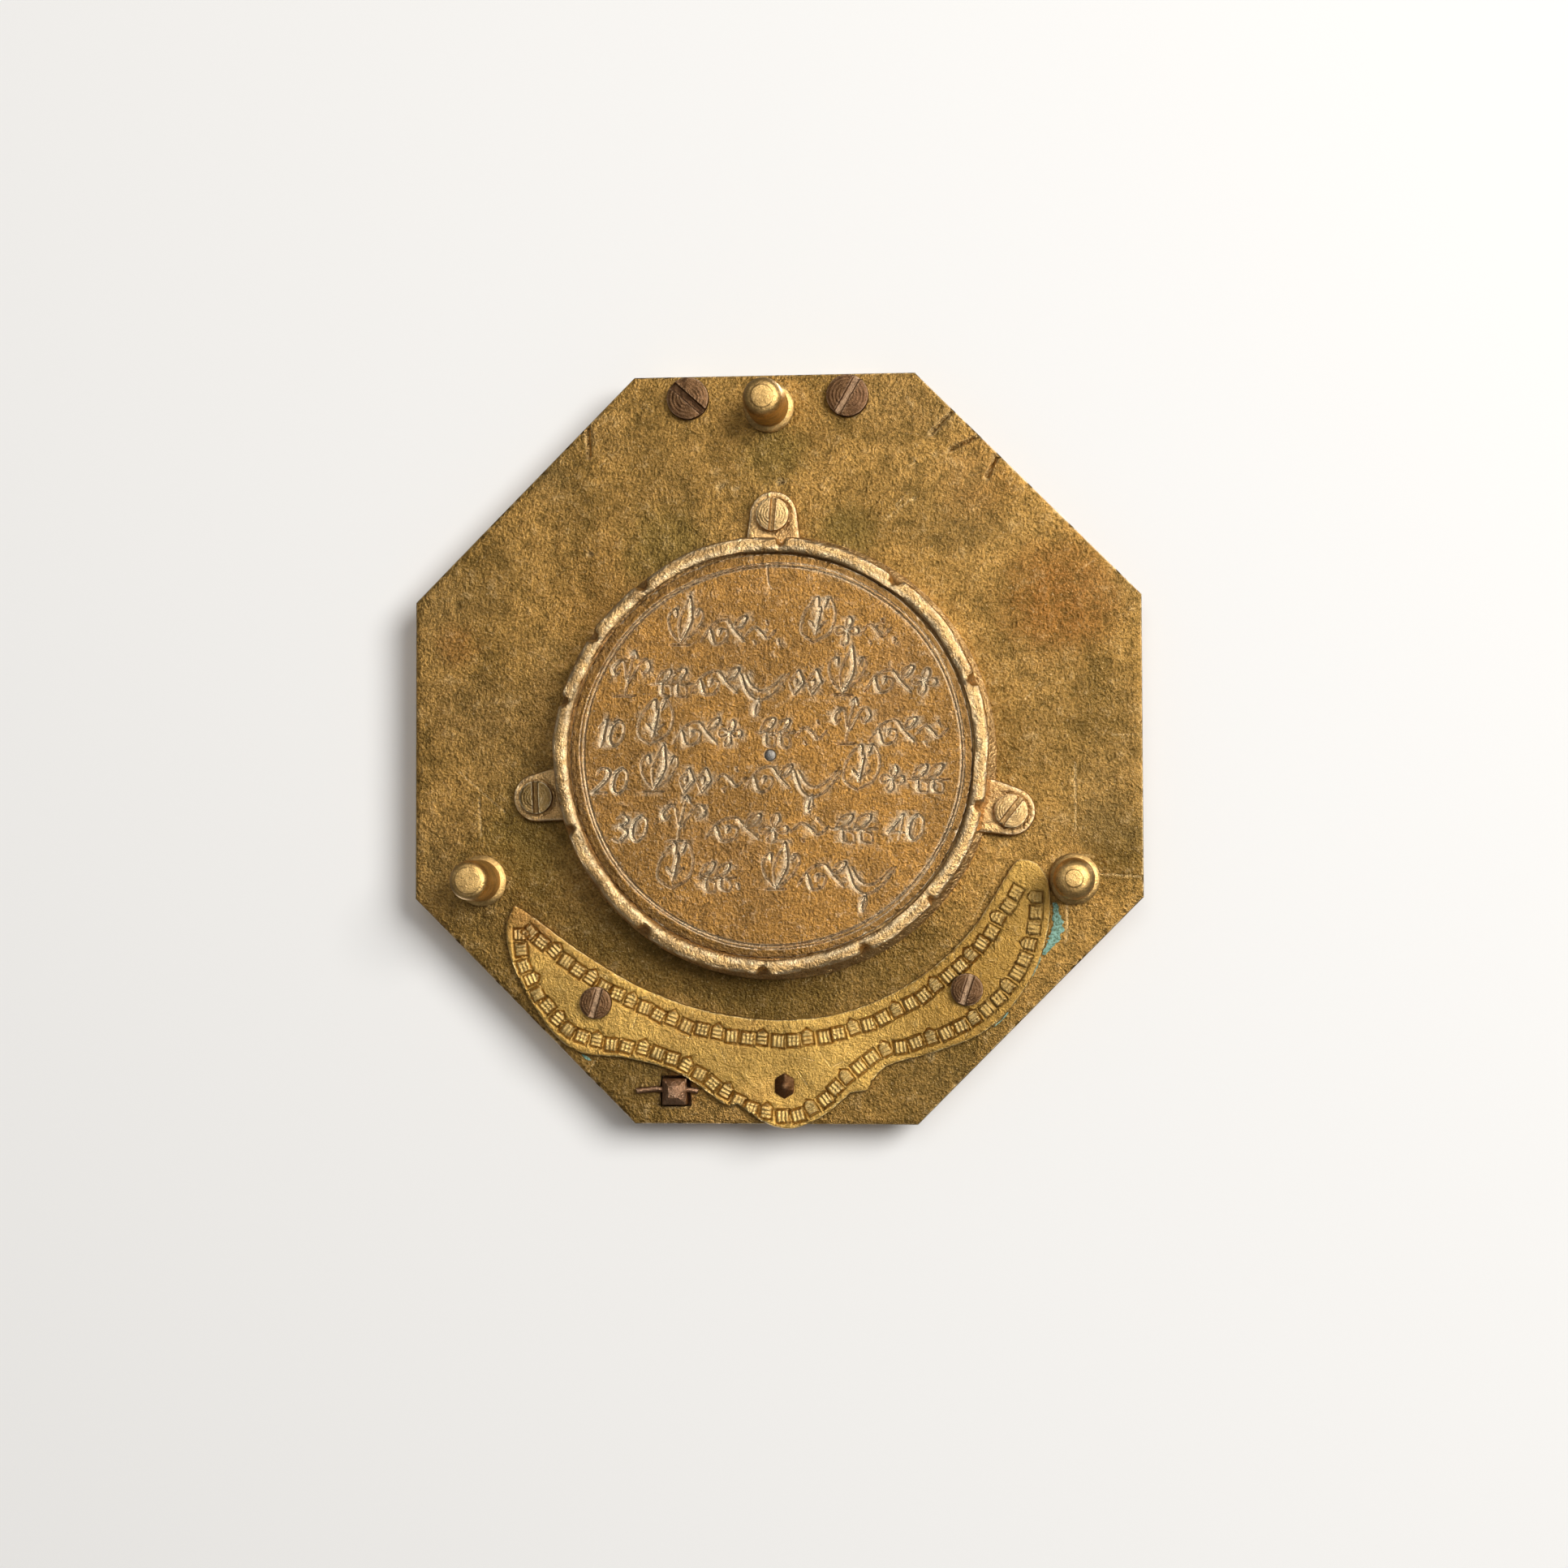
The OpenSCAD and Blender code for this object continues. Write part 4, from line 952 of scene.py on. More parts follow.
def plate_top():
    """Framed upper face with foliage, and a ring of ticks about the window."""
    f = plate_field(11)
    f.h += f.noise(8, 0.012)
    for inset, width in ((0.9, 0.2), (1.35, 0.1)):
        f.groove(closed(octagon() * (1 - inset / plate_half_y)), width, 0.06, 0.008)
    centre, inner = (compass_x, compass_y), WINDOW_R + 1.1
    for r, width in ((WINDOW_R + 0.7, 0.2), (inner, 0.1), (WINDOW_R + 3.0, 0.1)):
        f.ring(centre, r, width, 0.06, 0.008, 160)
    for k in range(72):
        f.tick(centre, inner, inner + (1.9 if k % 9 == 0 else 0.9), 5 * k, 0.1)
    for a in (45, 135, 225, 315):
        corner_scroll(f, *polar(0, 0, 27.3, a), a + 90, 1.7)
    for x, y, turn in ((26.8, 3, 90), (-26.8, 3, -90), (19.5, -21.5, 225), (-18.5, -22, 135)):
        corner_scroll(f, x, y, turn, 1.1)
    f.pepper(70, 30, (0.1, 0.25), (0.005, 0.03))
    return f


def build_plate():
    obj = relief("aged_plate", [octagon()] + plate_holes(), plate_z0, plate_z1, plate_metal, fine=0.13,
                 coarse=5, face=plate_underside(), back=plate_top(), bevel=0.14, steep=0.045)
    place(obj, "base", "plate_bronze", "base_plate")


# ---- compass box

BOX_Z0, CAVITY_R = 1.7, 15.6
GLASS_R, GLASS_Z0 = 16.1, 5.0
# Mean radius of the crimped lip, and its notches: angle and size
CRIMP_R = 17.6
NOTCHES = ((93, 0.9), (126, 1.3), (160, 1.2), (194, 1.0), (222, 0.7), (244, 1.1), (272, 1.2), (306, 1.3),
           (340, 0.9), (15, 1.1), (34, 1.2), (53, 1.2))


def cup_profile():
    """Radius and height round the cup's section, from the inner lip over the outside and back inside."""
    outside = [(16.62, 2.02), (16.6, 1.9), (16.72, 1.78), (16.95, 1.72), (17.25, 1.7), (17.5, 1.74),
               (17.72, 1.84), (17.84, 2.02), (17.8, 2.22), (17.62, 2.42), (17.68, 2.52), (17.66, 2.66),
               (17.4, 2.9), (17.24, 3.3), (17.2, 3.8), (17.26, 4.3), (17.45, 4.75), (17.8, 5.15),
               (18.2, 5.4), (18.3, 5.5), (18.3, 5.95), (18.25, 6.0)]
    inner = [(GLASS_R, 6.0), (GLASS_R, GLASS_Z0), (CAVITY_R, GLASS_Z0), (CAVITY_R, 2.8), (16.75, 2.8)]
    return outside + inner + outside[:1]


def crimp(r, z, a):
    """Hand-crimped lip: uneven inner edge, dents between the notches and a V cut at each notch."""
    low = np.clip((3.2 - z) / 1.2, 0, 1)
    outer = np.clip((r - 17.1) / 0.6, 0, 1)
    wave = 0.07 * np.sin(5 * a + 1.0) + 0.05 * np.sin(11 * a + 0.4) + 0.03 * np.sin(23 * a)
    r = r + low * wave * (0.6 + 0.4 * outer)
    z = z + low * (0.05 * np.sin(7 * a + 2) + 0.035 * np.sin(17 * a))
    for turns, size in ((31, 0.012), (47, 0.008), (73, 0.006)):
        r = r + low * size * np.sin(turns * a + turns)
        z = z + low * size * np.sin(turns * a + 2 * turns + 3 * r)
    for deg, size in NOTCHES:
        off = (a - math.radians(deg) + math.pi) % (2 * math.pi) - math.pi
        near = np.exp(-((off * CRIMP_R / (0.30 * size)) ** 2))
        wide = np.exp(-((off * CRIMP_R / (1.5 * size)) ** 2))
        z = z + low * outer * near * 0.75 * size
        r = r - low * outer * near * 0.42 * size
        z = z - low * (wide - near) * 0.05
    return r, np.maximum(z, BOX_Z0)


# Wear of the lip, and painted shade in the creases inside the lip and behind its bead, one value for each
# point of the cup's section
LIP_WORN = (0.0, 0.1, 0.3, 0.7, 0.05, 0.1, 0.9, 0.5, 0.1)
LIP_CREASE_SHADE = (1.0, 0.9, 0.3, 0.0, 0.1, 0.0, 0.0, 0.2, 0.6, 1.0, 1.0, 0.8, 0.5, 0.3)
CUP_STEPS = 900


def build_cup():
    obj = lathe("cup_wall", cup_profile(), (compass_x, compass_y), cup_metal, count=CUP_STEPS,
                smooth_deg=32, wobble=crimp)
    rows = np.arange(len(obj.data.vertices)) // CUP_STEPS
    # The dark mask of the cup is painted shade in the creases of its lip
    for name, values in (("rim", LIP_WORN), ("dark", LIP_CREASE_SHADE)):
        padded = np.concatenate([values, np.zeros(rows.max() + 1 - len(values))])
        add_mask(obj, name, padded[rows])
    place(obj, "base", "cup_bronze", "compass_box")
    for k, angle in enumerate(LUG_ANGLES):
        build_lug(k, angle)


def build_lug(k, angle):
    """Rounded ear of the cup, with a raised bead round its end."""
    cx, cy = polar(compass_x, compass_y, LUG_PITCH, angle)
    outline = [polar(0, 0, LUG_R, a) for a in range(-90, 91, 12)]
    outline = resample(outline + [(-LUG_NECK, LUG_R * 1.15), (-LUG_NECK, -LUG_R * 1.15)], 0.3)
    c, s = math.cos(math.radians(angle)), math.sin(math.radians(angle))
    x, y = outline.T
    outline = np.stack([cx + x * c - y * s, cy + x * s + y * c], 1)
    f = Field(outline.min(0) - 0.5, outline.max(0) + 0.5, cell=0.05, seed=30 + k)
    f.h += f.noise(0.9, 0.03) - 0.10 * np.exp(-(((f.far(cx, cy) - 1.35) / 0.22) ** 2))
    obj = relief("cup_lug_%d" % (k + 1), [outline], plate_z0 - LUG_T, plate_z0, cup_metal, fine=0.12,
                 coarse=3, face=f, bevel=0.28)
    place(obj, "base", "cup_bronze")


# Rows of the bottom disc: signs, ends along u, height of the row's foot
DISC_ROWS = (
    ("palmette rinceau tilde dot gap tulip rosette tilde dot", -8.9, 10.6, 8.3),
    ("fountain wheat rinceau swag chain palmette rinceau rosette", -13.6, 13.6, 4.15),
    ("tulip rinceau rosette gap wheat tilde fountain rinceau tilde", -11.4, 14.3, 0.05),
    ("palmette chain tilde rinceau swag tulip rosette wheat", -11.2, 14.3, -3.75),
    ("fountain rinceau rosette tilde wheat", -9.6, 8.6, -7.75),
    ("tulip wheat dot gap palmette rinceau swag", -9.8, 9.8, -11.7),
)
DISC_NUMBERS = (("10", -13.3, 1.1), ("20", -13.2, -2.8), ("30", -11.6, -6.7), ("40", 11.0, -6.7))
SIGN_H, FIGURE_H = 1.95, 2.1


def disc_underside():
    """Engraved rows inside two wavering circles, with a dull rim."""
    half = disc_r + 0.5
    f = Field((-half, compass_y - half), (half, compass_y + half), cell=0.05, seed=3)
    f.h += f.noise(6, 0.03) + f.noise(2, 0.012) + f.noise(0.8, 0.006)
    far = f.far(compass_x, compass_y)
    f.h -= 0.05 * np.clip((far - 15.75) / 0.3, 0, 1)
    f.dark += 0.55 * np.clip((far - 15.8) / 0.3, 0, 1)
    for r, width, wave in ((15.45, 0.17, 0.03), (15.72, 0.1, 0.08)):
        ring = circle(-0.15, compass_y, r, 220)
        a = np.arange(220) * 2 * math.pi / 220
        ring += (wave * np.sin(3 * a + 1) + wave * 0.6 * np.sin(8 * a))[:, None] * (ring / r)
        f.groove(closed(ring), width, 0.08, 0.012)
    for signs, u0, u1, v in DISC_ROWS:
        flourish_row(f, signs.split(), u0, u1, v, SIGN_H)
    for text, u, v in DISC_NUMBERS:
        number(f, text, u, v, FIGURE_H, DISC_PEN, slant=0.2, mirror=True)
    f.groove([(0.2, 14.7), (0.1, 13.2)], [0.18, 0.1], 0.07, 0.01)
    f.groove([(0.1, 13.2), (-0.15, 12.8)], [0.1, 0.08], 0.05, 0.01)
    for _ in range(240):
        a, r = f.rng.uniform(0, 2 * math.pi), disc_r * math.sqrt(f.rng.uniform(0, 1))
        x, y = r * math.cos(a), compass_y + r * math.sin(a)
        f.dent(x, y, f.rng.uniform(0.08, 0.2), f.rng.uniform(0.01, 0.035))
    return f


def build_disc():
    loops = [circle(compass_x, compass_y, disc_r, 200), circle(compass_x, compass_y, 0.47, 24)]
    obj = relief("engraved_disc", loops, disc_low[2], disc_high[2], disc_metal, fine=0.063, coarse=10,
                 face=disc_underside(), bevel=0.08, steep=0.05)
    place(obj, "base", "cup_bronze", "compass_box_bottom")


# ---- screws and feet

# Places and slot angles of the screws; a lug screw's place comes from its lug
HINGE_SCREWS = (((7.15, 29.1), 42), ((-6.15, 29.1), 120))
CRESCENT_SCREWS = (((14.8, -21), 106), ((-15.8, -19.9), 108))
LUG_SLOTS = (95, 88, 128)


def screw_head(name, cx, cy, slot_deg, radius, face, foot, material, slot_w, crown, fresh):
    """Slotted head with a domed, turned face, seen from below.

    Its face and its foot lie that far below the plate. A fresh slot is shallow and bright.
    """
    f = Field((cx - radius - 0.3, cy - radius - 0.3), (cx + radius + 0.3, cy + radius + 0.3), cell=0.03,
              seed=500 + int(cx * 7))
    gx, gy = np.meshgrid(f.x, f.y)
    far = np.hypot(gx - cx, gy - cy) / radius
    f.h += -crown * far**2 + 0.012 * np.cos(far * 38) * (far > 0.15) + f.noise(0.5, 0.02)
    dx, dy = polar(0, 0, 1, slot_deg)
    across = np.abs(-(gx - cx) * dy + (gy - cy) * dx)
    edge = slot_w / 2
    floor = -0.42 + 0.2 * fresh + f.noise(0.4, 0.02)
    wall = np.clip((across - edge) / 0.06, 0, 1)
    f.h = np.where(across < edge + 0.06, np.minimum(f.h, floor * (1 - wall) + f.h * wall), f.h)
    in_slot = np.clip(1.3 - across / edge, 0, 1)
    f.dark += in_slot * 0.9 * (1 - fresh)
    f.bright += np.clip(1 - np.abs(across - edge - 0.09) / 0.08, 0, 1) + in_slot * fresh * 2.0
    return relief(name, [circle(cx, cy, radius, 48)], plate_z0 - face, plate_z0 - foot, material,
                  fine=0.06, coarse=3, face=f, steep=0.1, smooth_deg=35)


def build_screws():
    lugs = [(polar(compass_x, compass_y, LUG_PITCH, a), slot) for a, slot in zip(LUG_ANGLES, LUG_SLOTS)]
    # Kind, its places and slots, radius, face, foot, metal and its slot, slot width, crown, fresh slots
    kinds = (
        ("hinge_screw", "ring_hinge_screws", HINGE_SCREWS, 1.75, 0.85, 0.0, screw_metal, "dark_copper",
         0.5, 0.12, (0.0, 0.8)),
        ("lug_screw", "box_lug_screws", lugs, 1.37, 1.85, LUG_T, lug_screw_metal, "screw_brass",
         0.36, 0.08, (0.0, 0.0, 0.0)),
        ("crescent_screw", "crescent_screws", CRESCENT_SCREWS, 1.32, 1.55, 0.8, screw_metal, "dark_copper",
         0.46, 0.12, (1.0, 1.0)),
    )
    for name, node, places, radius, face, foot, metal, slot, slot_w, crown, freshness in kinds:
        replaced = [node]
        for k, (((x, y), slot_deg), fresh) in enumerate(zip(places, freshness)):
            head = screw_head("%s_%d" % (name, k + 1), x, y, slot_deg, radius, face, foot, metal, slot_w,
                              crown, fresh)
            place(head, "base", slot, *replaced)
            replaced = []


def foot_profile(flat):
    """Section of a turned foot from its end up; flat is the radius of the end face."""
    shoulder, waist, top = flat + 0.06, 1.66, plate_z1
    section = [(0.3, 0.0), (flat * 0.8, 0.0), (flat * 0.93, 0.02), (flat, 0.07), (shoulder, 0.10)]
    for turn in np.linspace(0.12, 1.0, 7) * math.pi / 2:
        section.append((shoulder + (waist - shoulder) * math.sin(turn), 1.1 - math.cos(turn)))
    section += [(1.68, 2.2), (FOOT_R, 4.4), (FOOT_R, 5.05), (1.6, 5.25), (1.66, 5.42), (1.95, 5.5),
                (COLLAR_R, 5.62), (COLLAR_R, 5.86), (1.98, 6.0), (SHANK_R, 6.0), (SHANK_R, top - 0.03),
                (0.7, top - 0.005)]
    return section


def build_feet():
    def out_of_round(r, z, a):
        return r * (1 + 0.006 * np.sin(2 * a + z) + 0.003 * np.sin(5 * a)), z

    for (name, centre), flat in zip(FEET.items(), FOOT_FLAT):
        obj = lathe("turned_" + name, foot_profile(flat), centre, foot_metal, count=72, smooth_deg=24,
                    wobble=out_of_round)
        place(obj, "base", "gilt_brass", name)


# ---- crescent

# Edges of the crescent in plan; a point given twice makes a corner
CRESCENT_OUTER = (
    (21.9, -13.4), (22.4, -15.2), (21.6, -18.4), (18.9, -23), (16.2, -25.1), (12.2, -25.6), (7.9, -26.85),
    (4.2, -29.3), (3.1, -29.3), (3.1, -29.3), (0.9, -30.8), (-1.4, -31.3), (-3.9, -30.3),
    (-6.2, -28.4), (-6.2, -28.4), (-7.5, -28.2), (-7.5, -28.2), (-9.2, -26.2), (-12.9, -25.1),
    (-17.3, -23.3), (-20.4, -20), (-22.2, -16), (-22.6, -12), (-21.8, -9.9),
)
CRESCENT_INNER = (
    (-20.4, -9.3), (-19.4, -10), (-16.2, -15), (-11.9, -18.9), (-6.3, -21.6), (-0.5, -22.4),
    (5.5, -21.7), (10.9, -19.8), (15.8, -17), (21, -13.3),
)
# Lines that the stamped borders follow, from east to west
OUTER_BORDER = (
    (21.3, -15.4), (20.7, -18.4), (18.3, -22.2), (15.6, -24.0), (11.8, -24.7), (8.2, -25.8), (5.2, -27.6),
    (2.6, -29.4), (0.2, -30.1), (-1.8, -30.2), (-3.9, -29.1), (-5.8, -27.2), (-8.4, -25.2), (-12.4, -24.0),
    (-16.4, -22.3), (-19.4, -19.4), (-21.0, -15.8), (-21.5, -12.4),
)
INNER_BORDER = (
    (20.4, -15.2), (16.2, -18.5), (11.4, -21.2), (5.9, -23.3), (-0.4, -24.1), (-6.4, -23.2), (-12.2, -20.4),
    (-16.8, -16.4), (-19.8, -12.0),
)
STAMP_PITCH, STAMP_SIZE, RIB_PITCH = 1.29, 1.25, 0.33
GABLED, BARRED = 0, 1


def stamp(field, x, y, turn_deg, kind, worn):
    """One struck mark: a sunk outline with a ribbed pillow inside; kinds are gabled, barred and chequered."""
    half = STAMP_SIZE / 2 * (0.86 if kind == GABLED else 1.0)
    js, is_ = field.window(x - 1.1, y - 1.1, x + 1.1, y + 1.1)
    gx, gy = np.meshgrid(field.x[is_] - x, field.y[js] - y)
    c, s = math.cos(math.radians(turn_deg)), math.sin(math.radians(turn_deg))
    u, v = gx * c + gy * s, -gx * s + gy * c
    gable = 0.42 * (1 - np.abs(u) / half) if kind == GABLED else 0.0
    reach = np.maximum(np.abs(u) - half * 0.92, np.maximum(v - half * 0.86 - gable, -v - half * 0.9))
    rim = np.exp(-((reach / 0.065) ** 2))
    pillow = np.clip(-reach / 0.12, 0, 1)
    rib_u, rib_v = u * 2 * math.pi / RIB_PITCH, v * 2 * math.pi / RIB_PITCH
    if kind == GABLED:
        ribs = np.cos(rib_v)
    elif kind == BARRED:
        ribs = np.cos(rib_u + 0.6) * 0.8 - 0.4 * (v < -half * 0.35)
    else:
        ribs = 0.6 * np.cos(rib_u) + 0.55 * np.cos(rib_v)
    bright = pillow * (0.45 + 0.55 * np.clip(ribs, 0, 1)) * worn
    field.h[js, is_] += (-0.17 * rim + pillow * (0.035 + 0.045 * ribs)) * worn
    field.dark[js, is_] = np.maximum(field.dark[js, is_], rim * 0.95)
    field.bright[js, is_] = np.maximum(field.bright[js, is_], bright)


def stamp_chain(field, line, start):
    """Stamps of three kinds in turn along a line, starting with one of them."""
    marks = even_steps(open_curve(line, 10), STAMP_PITCH)
    move = np.gradient(marks, axis=0)
    for k, (x, y) in enumerate(marks):
        turn = math.degrees(math.atan2(move[k, 1], move[k, 0])) + 180
        turn += field.rng.uniform(-7, 7)
        worn = np.clip(1.0 - 0.35 * (x < -17) - 0.2 * field.rng.uniform(0, 1), 0.4, 1.1)
        shift = field.rng.uniform(-0.06, 0.06, 2)
        stamp(field, x + shift[0], y + shift[1], turn, (k + start) % 3, worn)


def crescent_underside():
    """Two borders of stamps, a hollow about the post, scratches and dents."""
    f = Field((-23.5, -32), (23.5, -8.5), cell=0.045, seed=9)
    f.h += f.noise(5, 0.05) + f.noise(1.6, 0.014) + f.noise(0.6, 0.005)
    stamp_chain(f, OUTER_BORDER, 0)
    stamp_chain(f, INNER_BORDER, 1)
    f.h -= 0.12 * np.exp(-((f.far(*POST_HOLE[:2]) / 1.7) ** 2))
    for _ in range(50):
        x, y, a = f.rng.uniform(-20, 20), f.rng.uniform(-28, -15), f.rng.uniform(0, math.pi)
        f.groove([(x, y), (x + 1.4 * math.cos(a), y + 1.4 * math.sin(a))], [0.07, 0.04], 0.01)
    for x, y in ((-2, -20.9), (6.4, -23.6), (-8.2, -23.0), (12.6, -22.1)):
        f.dent(x, y, 0.3, 0.03)
    return f


def build_crescent():
    outline = resample(closed_curve(CRESCENT_OUTER + CRESCENT_INNER, 8), 0.3)
    outline += np.random.default_rng(4).uniform(-0.025, 0.025, outline.shape)
    obj = relief("stamped_crescent", [outline, rectangle(*POST_HOLE)], crescent_z0, plate_z0,
                 crescent_metal, fine=0.085, coarse=6, face=crescent_underside(), bevel=0.13)
    place(obj, "base", "yellow_brass", "crescent_spring")


# ---- small fittings under the plate


def tube(name, path, radius, material, sides=16):
    """Round wire along a path, with closed ends."""
    path = np.array(path, float)
    verts = []
    for i, p in enumerate(path):
        d = path[min(i + 1, len(path) - 1)] - path[max(i - 1, 0)]
        d /= np.linalg.norm(d)
        side = np.cross(d, (0, 0, 1.0))
        side /= np.linalg.norm(side)
        up = np.cross(side, d)
        r = radius * (0.75 if i in (0, len(path) - 1) else 1.0)
        for k in range(sides):
            a = 2 * math.pi * k / sides
            verts.append(p + r * (math.cos(a) * side + math.sin(a) * up))
    return make_object(name, verts, wall_faces(len(path), sides), material, 50)


def build_cotter():
    low, high = node_box("bracket_cotter")
    y, z = (low[1] + high[1]) / 2, (low[2] + high[2]) / 2
    path = [(high[0], y - 0.12, z - 0.08), (high[0] - 0.06, y - 0.1, z - 0.06), (10.6, y - 0.02, z - 0.05),
            (9.8, y + 0.06, z), (9.2, y, z), (7.4, y, z), (6.8, y - 0.05, z + 0.02), (6.5, y - 0.1, z + 0.02),
            (low[0] + 0.02, y - 0.12, z + 0.02)]
    place(tube("bent_cotter", path, 0.25, tang_metal), "base", "dark_copper", "bracket_cotter")


# Green crust: middle line and half widths
CRUST = (
    (((-23.0, -12.85), (-23.1, -13.9), (-23.2, -14.9), (-22.8, -15.9), (-22.05, -17.1)),
     (0.18, 0.38, 0.62, 0.42, 0.2)),
    (((-21.75, -17.3), (-21.2, -18.5), (-20.7, -19.3)), (0.12, 0.16, 0.06)),
    (((-20.45, -19.7), (-20.0, -20.4), (-19.5, -21.2)), (0.06, 0.11, 0.05)),
    (((-19.1, -21.8), (-18.6, -22.4), (-17.9, -23.0)), (0.05, 0.08, 0.05)),
    (((16.1, -25.3), (15.8, -25.55), (15.5, -25.8)), (0.10, 0.22, 0.12)),
)


def build_verdigris():
    """Ragged green crust in the angle of the crescent, the plate and the west foot."""
    rng = np.random.default_rng(8)
    for k, (middle, widths) in enumerate(CRUST):
        line = even_steps(open_curve(middle), 0.16)
        width = np.interp(np.linspace(0, 1, len(line)), np.linspace(0, 1, len(widths)), widths)
        reach = width[:, None] * rng.uniform(0.55, 1.25, (len(line), 2))
        outline = np.vstack([line - reach[:, :1] * (1, 0), (line + reach[:, 1:] * (1, 0))[::-1]])
        f = Field(outline.min(0) - 0.5, outline.max(0) + 0.5, cell=0.06, seed=13 + k)
        f.h += f.noise(0.4, 0.04) + f.noise(0.2, 0.03)
        obj = relief("verdigris_%d" % (k + 1), [resample(outline, 0.1)], plate_z0 - 0.1, plate_z0 + 0.05,
                     verdigris, fine=0.1, face=f, bevel=0.015)
        place(obj, "base", "plate_bronze")


# ---- hour ring and its fittings

RING_Y = 0.5
RING_R, RING_BORE_R = 24.4, 19.4
RING_Z0, RING_Z1 = 8.4, 9.6
HINGE_X, HINGE_Y, HINGE_Z = 0.5, 27.5, 9.0
KNUCKLE_R, KNUCKLE_W, PIN_R = 1.4, 9.8, 0.6
# The arc lies about the ring's hinge; its angles are counted from the plate
ARC_X, ARC_R0, ARC_R1, ARC_START, ARC_END = -14.0, 20.0, 24.0, 4, 62
ARC_Z0, ARC_Z1 = HINGE_Z - 0.45, HINGE_Z + 0.45
KNUCKLE_Y0, KNUCKLE_Y1 = 9.3, 10.7
# Radii of the hour scale: its inner line, quarter line, and the two lines that frame the hours
SCALE_R, QUARTER_R, HOUR_R0, HOUR_R1 = 19.85, 20.75, 21.05, 23.95
HOUR_MID = 22.5
ROMAN = ("XII", "I", "II", "III", "IIII", "V", "VI", "VII", "VIII", "IX", "X", "XI")


def ring_field(numerals, seed):
    """Hour lines, quarter marks and hour numerals, with noon at the hinge."""
    half = RING_R + 0.5
    f = Field((-half, RING_Y - half), (half, RING_Y + half), cell=0.06, seed=seed)
    f.h += f.noise(5, 0.012)
    centre = (0, RING_Y)
    for r, width in ((SCALE_R, 0.1), (QUARTER_R, 0.1), (HOUR_R0, 0.16), (HOUR_R1, 0.16)):
        f.ring(centre, r, width)
    for k in range(96):
        hour = k % 4 == 0
        inner = SCALE_R if hour else 20.1 if k % 2 == 0 else 20.35
        f.tick(centre, inner, QUARTER_R, 3.75 * k, 0.12 if hour else 0.08)
    for hour in range(24):
        a = 90 - 15 * hour
        if numerals:
            number(f, ROMAN[hour % 12], *polar(*centre, HOUR_MID, a), 1.9, HOUR_PEN, a - 90)
        f.dent(*polar(*centre, HOUR_MID, a + 7.5), 0.28, 0.09)
        f.tick(centre, HOUR_MID - 0.6, HOUR_MID + 0.6, a + 7.5, 0.09)
    return f


def build_ring():
    loops = [circle(0, RING_Y, RING_R, 220), circle(0, RING_Y, RING_BORE_R, 180)]
    obj = relief("hour_plate", loops, RING_Z1, RING_Z0, dial_metal, fine=0.11, coarse=6,
                 face=ring_field(True, 21), back=ring_field(False, 22), steep=0.05)
    place(obj, "ring", "yellow_brass", "hour_ring")


def build_knuckle():
    """Barrel that turns on the hinge pin, with the arm that joins it to the ring."""
    a = np.radians(np.arange(-154.6, 154.7, 9.36))
    arm = [(HINGE_Y + KNUCKLE_R * math.cos(t), HINGE_Z + KNUCKLE_R * math.sin(t)) for t in a]
    section = np.array(arm + [(RING_Y + RING_R - 1, RING_Z1), (RING_Y + RING_R - 1, RING_Z0)])
    bore = circle(HINGE_Y, HINGE_Z, PIN_R + 0.05, 40)
    x0, x1 = HINGE_X - KNUCKLE_W / 2, HINGE_X + KNUCKLE_W / 2
    obj = relief("ring_knuckle", [section, bore], x0, x1, dial_metal, fine=0.5, axes="yzx")
    place(obj, "ring", "yellow_brass")


def build_index():
    """Pointer from the ring's bore to the edge of the latitude arc."""
    x0, x1 = -RING_BORE_R - 0.3, ARC_X - 0.55
    y = HINGE_Y - (ARC_R0 + ARC_R1) / 2
    pointer = resample([(x0, y - 0.6), (x1 - 0.8, y - 0.6), (x1, y), (x1 - 0.8, y + 0.6), (x0, y + 0.6)], 0.3)
    obj = relief("ring_index", [pointer], RING_Z1, RING_Z0, dial_metal, fine=0.3)
    place(obj, "ring", "yellow_brass")


def arc_line(r, start=ARC_START, end=ARC_END, count=60):
    return [polar(ARC_X, HINGE_Y, r, a - 90) for a in np.linspace(start, end, count)]


def arc_scale():
    """Degrees of latitude, with a number at every tenth."""
    f = Field((ARC_X - 1, 2), (ARC_X + 23, 20), cell=0.06, seed=23)
    f.h += f.noise(4, 0.012)
    outer = ARC_R1 - 0.25
    for r in (outer, ARC_R1 - 1.1, ARC_R0 + 0.25):
        f.groove(arc_line(r), 0.1, 0.05, 0.006)
    for a in range(ARC_START + 1, ARC_END):
        f.tick((ARC_X, HINGE_Y), ARC_R1 - (1.1 if a % 5 == 0 else 0.8), outer, a - 90, 0.08)
    for a in range(10, ARC_END - 1, 10):
        x, y = polar(ARC_X, HINGE_Y, (ARC_R0 + ARC_R1) / 2 - 0.35, a - 90)
        number(f, str(90 - a), x, y, 1.5, ARC_PEN, a)
    return f


def build_arc():
    foot = [(2.55, 12), (1.25, 12), (1.25, KNUCKLE_Y1), (0.4, KNUCKLE_Y1), (0.4, KNUCKLE_Y0),
            (1.25, KNUCKLE_Y0), (1.25, 3.7)]
    foot = [(ARC_X + x, y) for x, y in foot]
    outline = resample(arc_line(ARC_R1) + arc_line(ARC_R0, ARC_END, 7.3, 50) + foot, 0.5)
    obj = relief("arc_plate", [outline], ARC_Z1, ARC_Z0, dial_metal, fine=0.1, coarse=5, face=arc_scale(),
                 bevel=0.08, steep=0.05)
    place(obj, "arc", "yellow_brass", "latitude_arc")


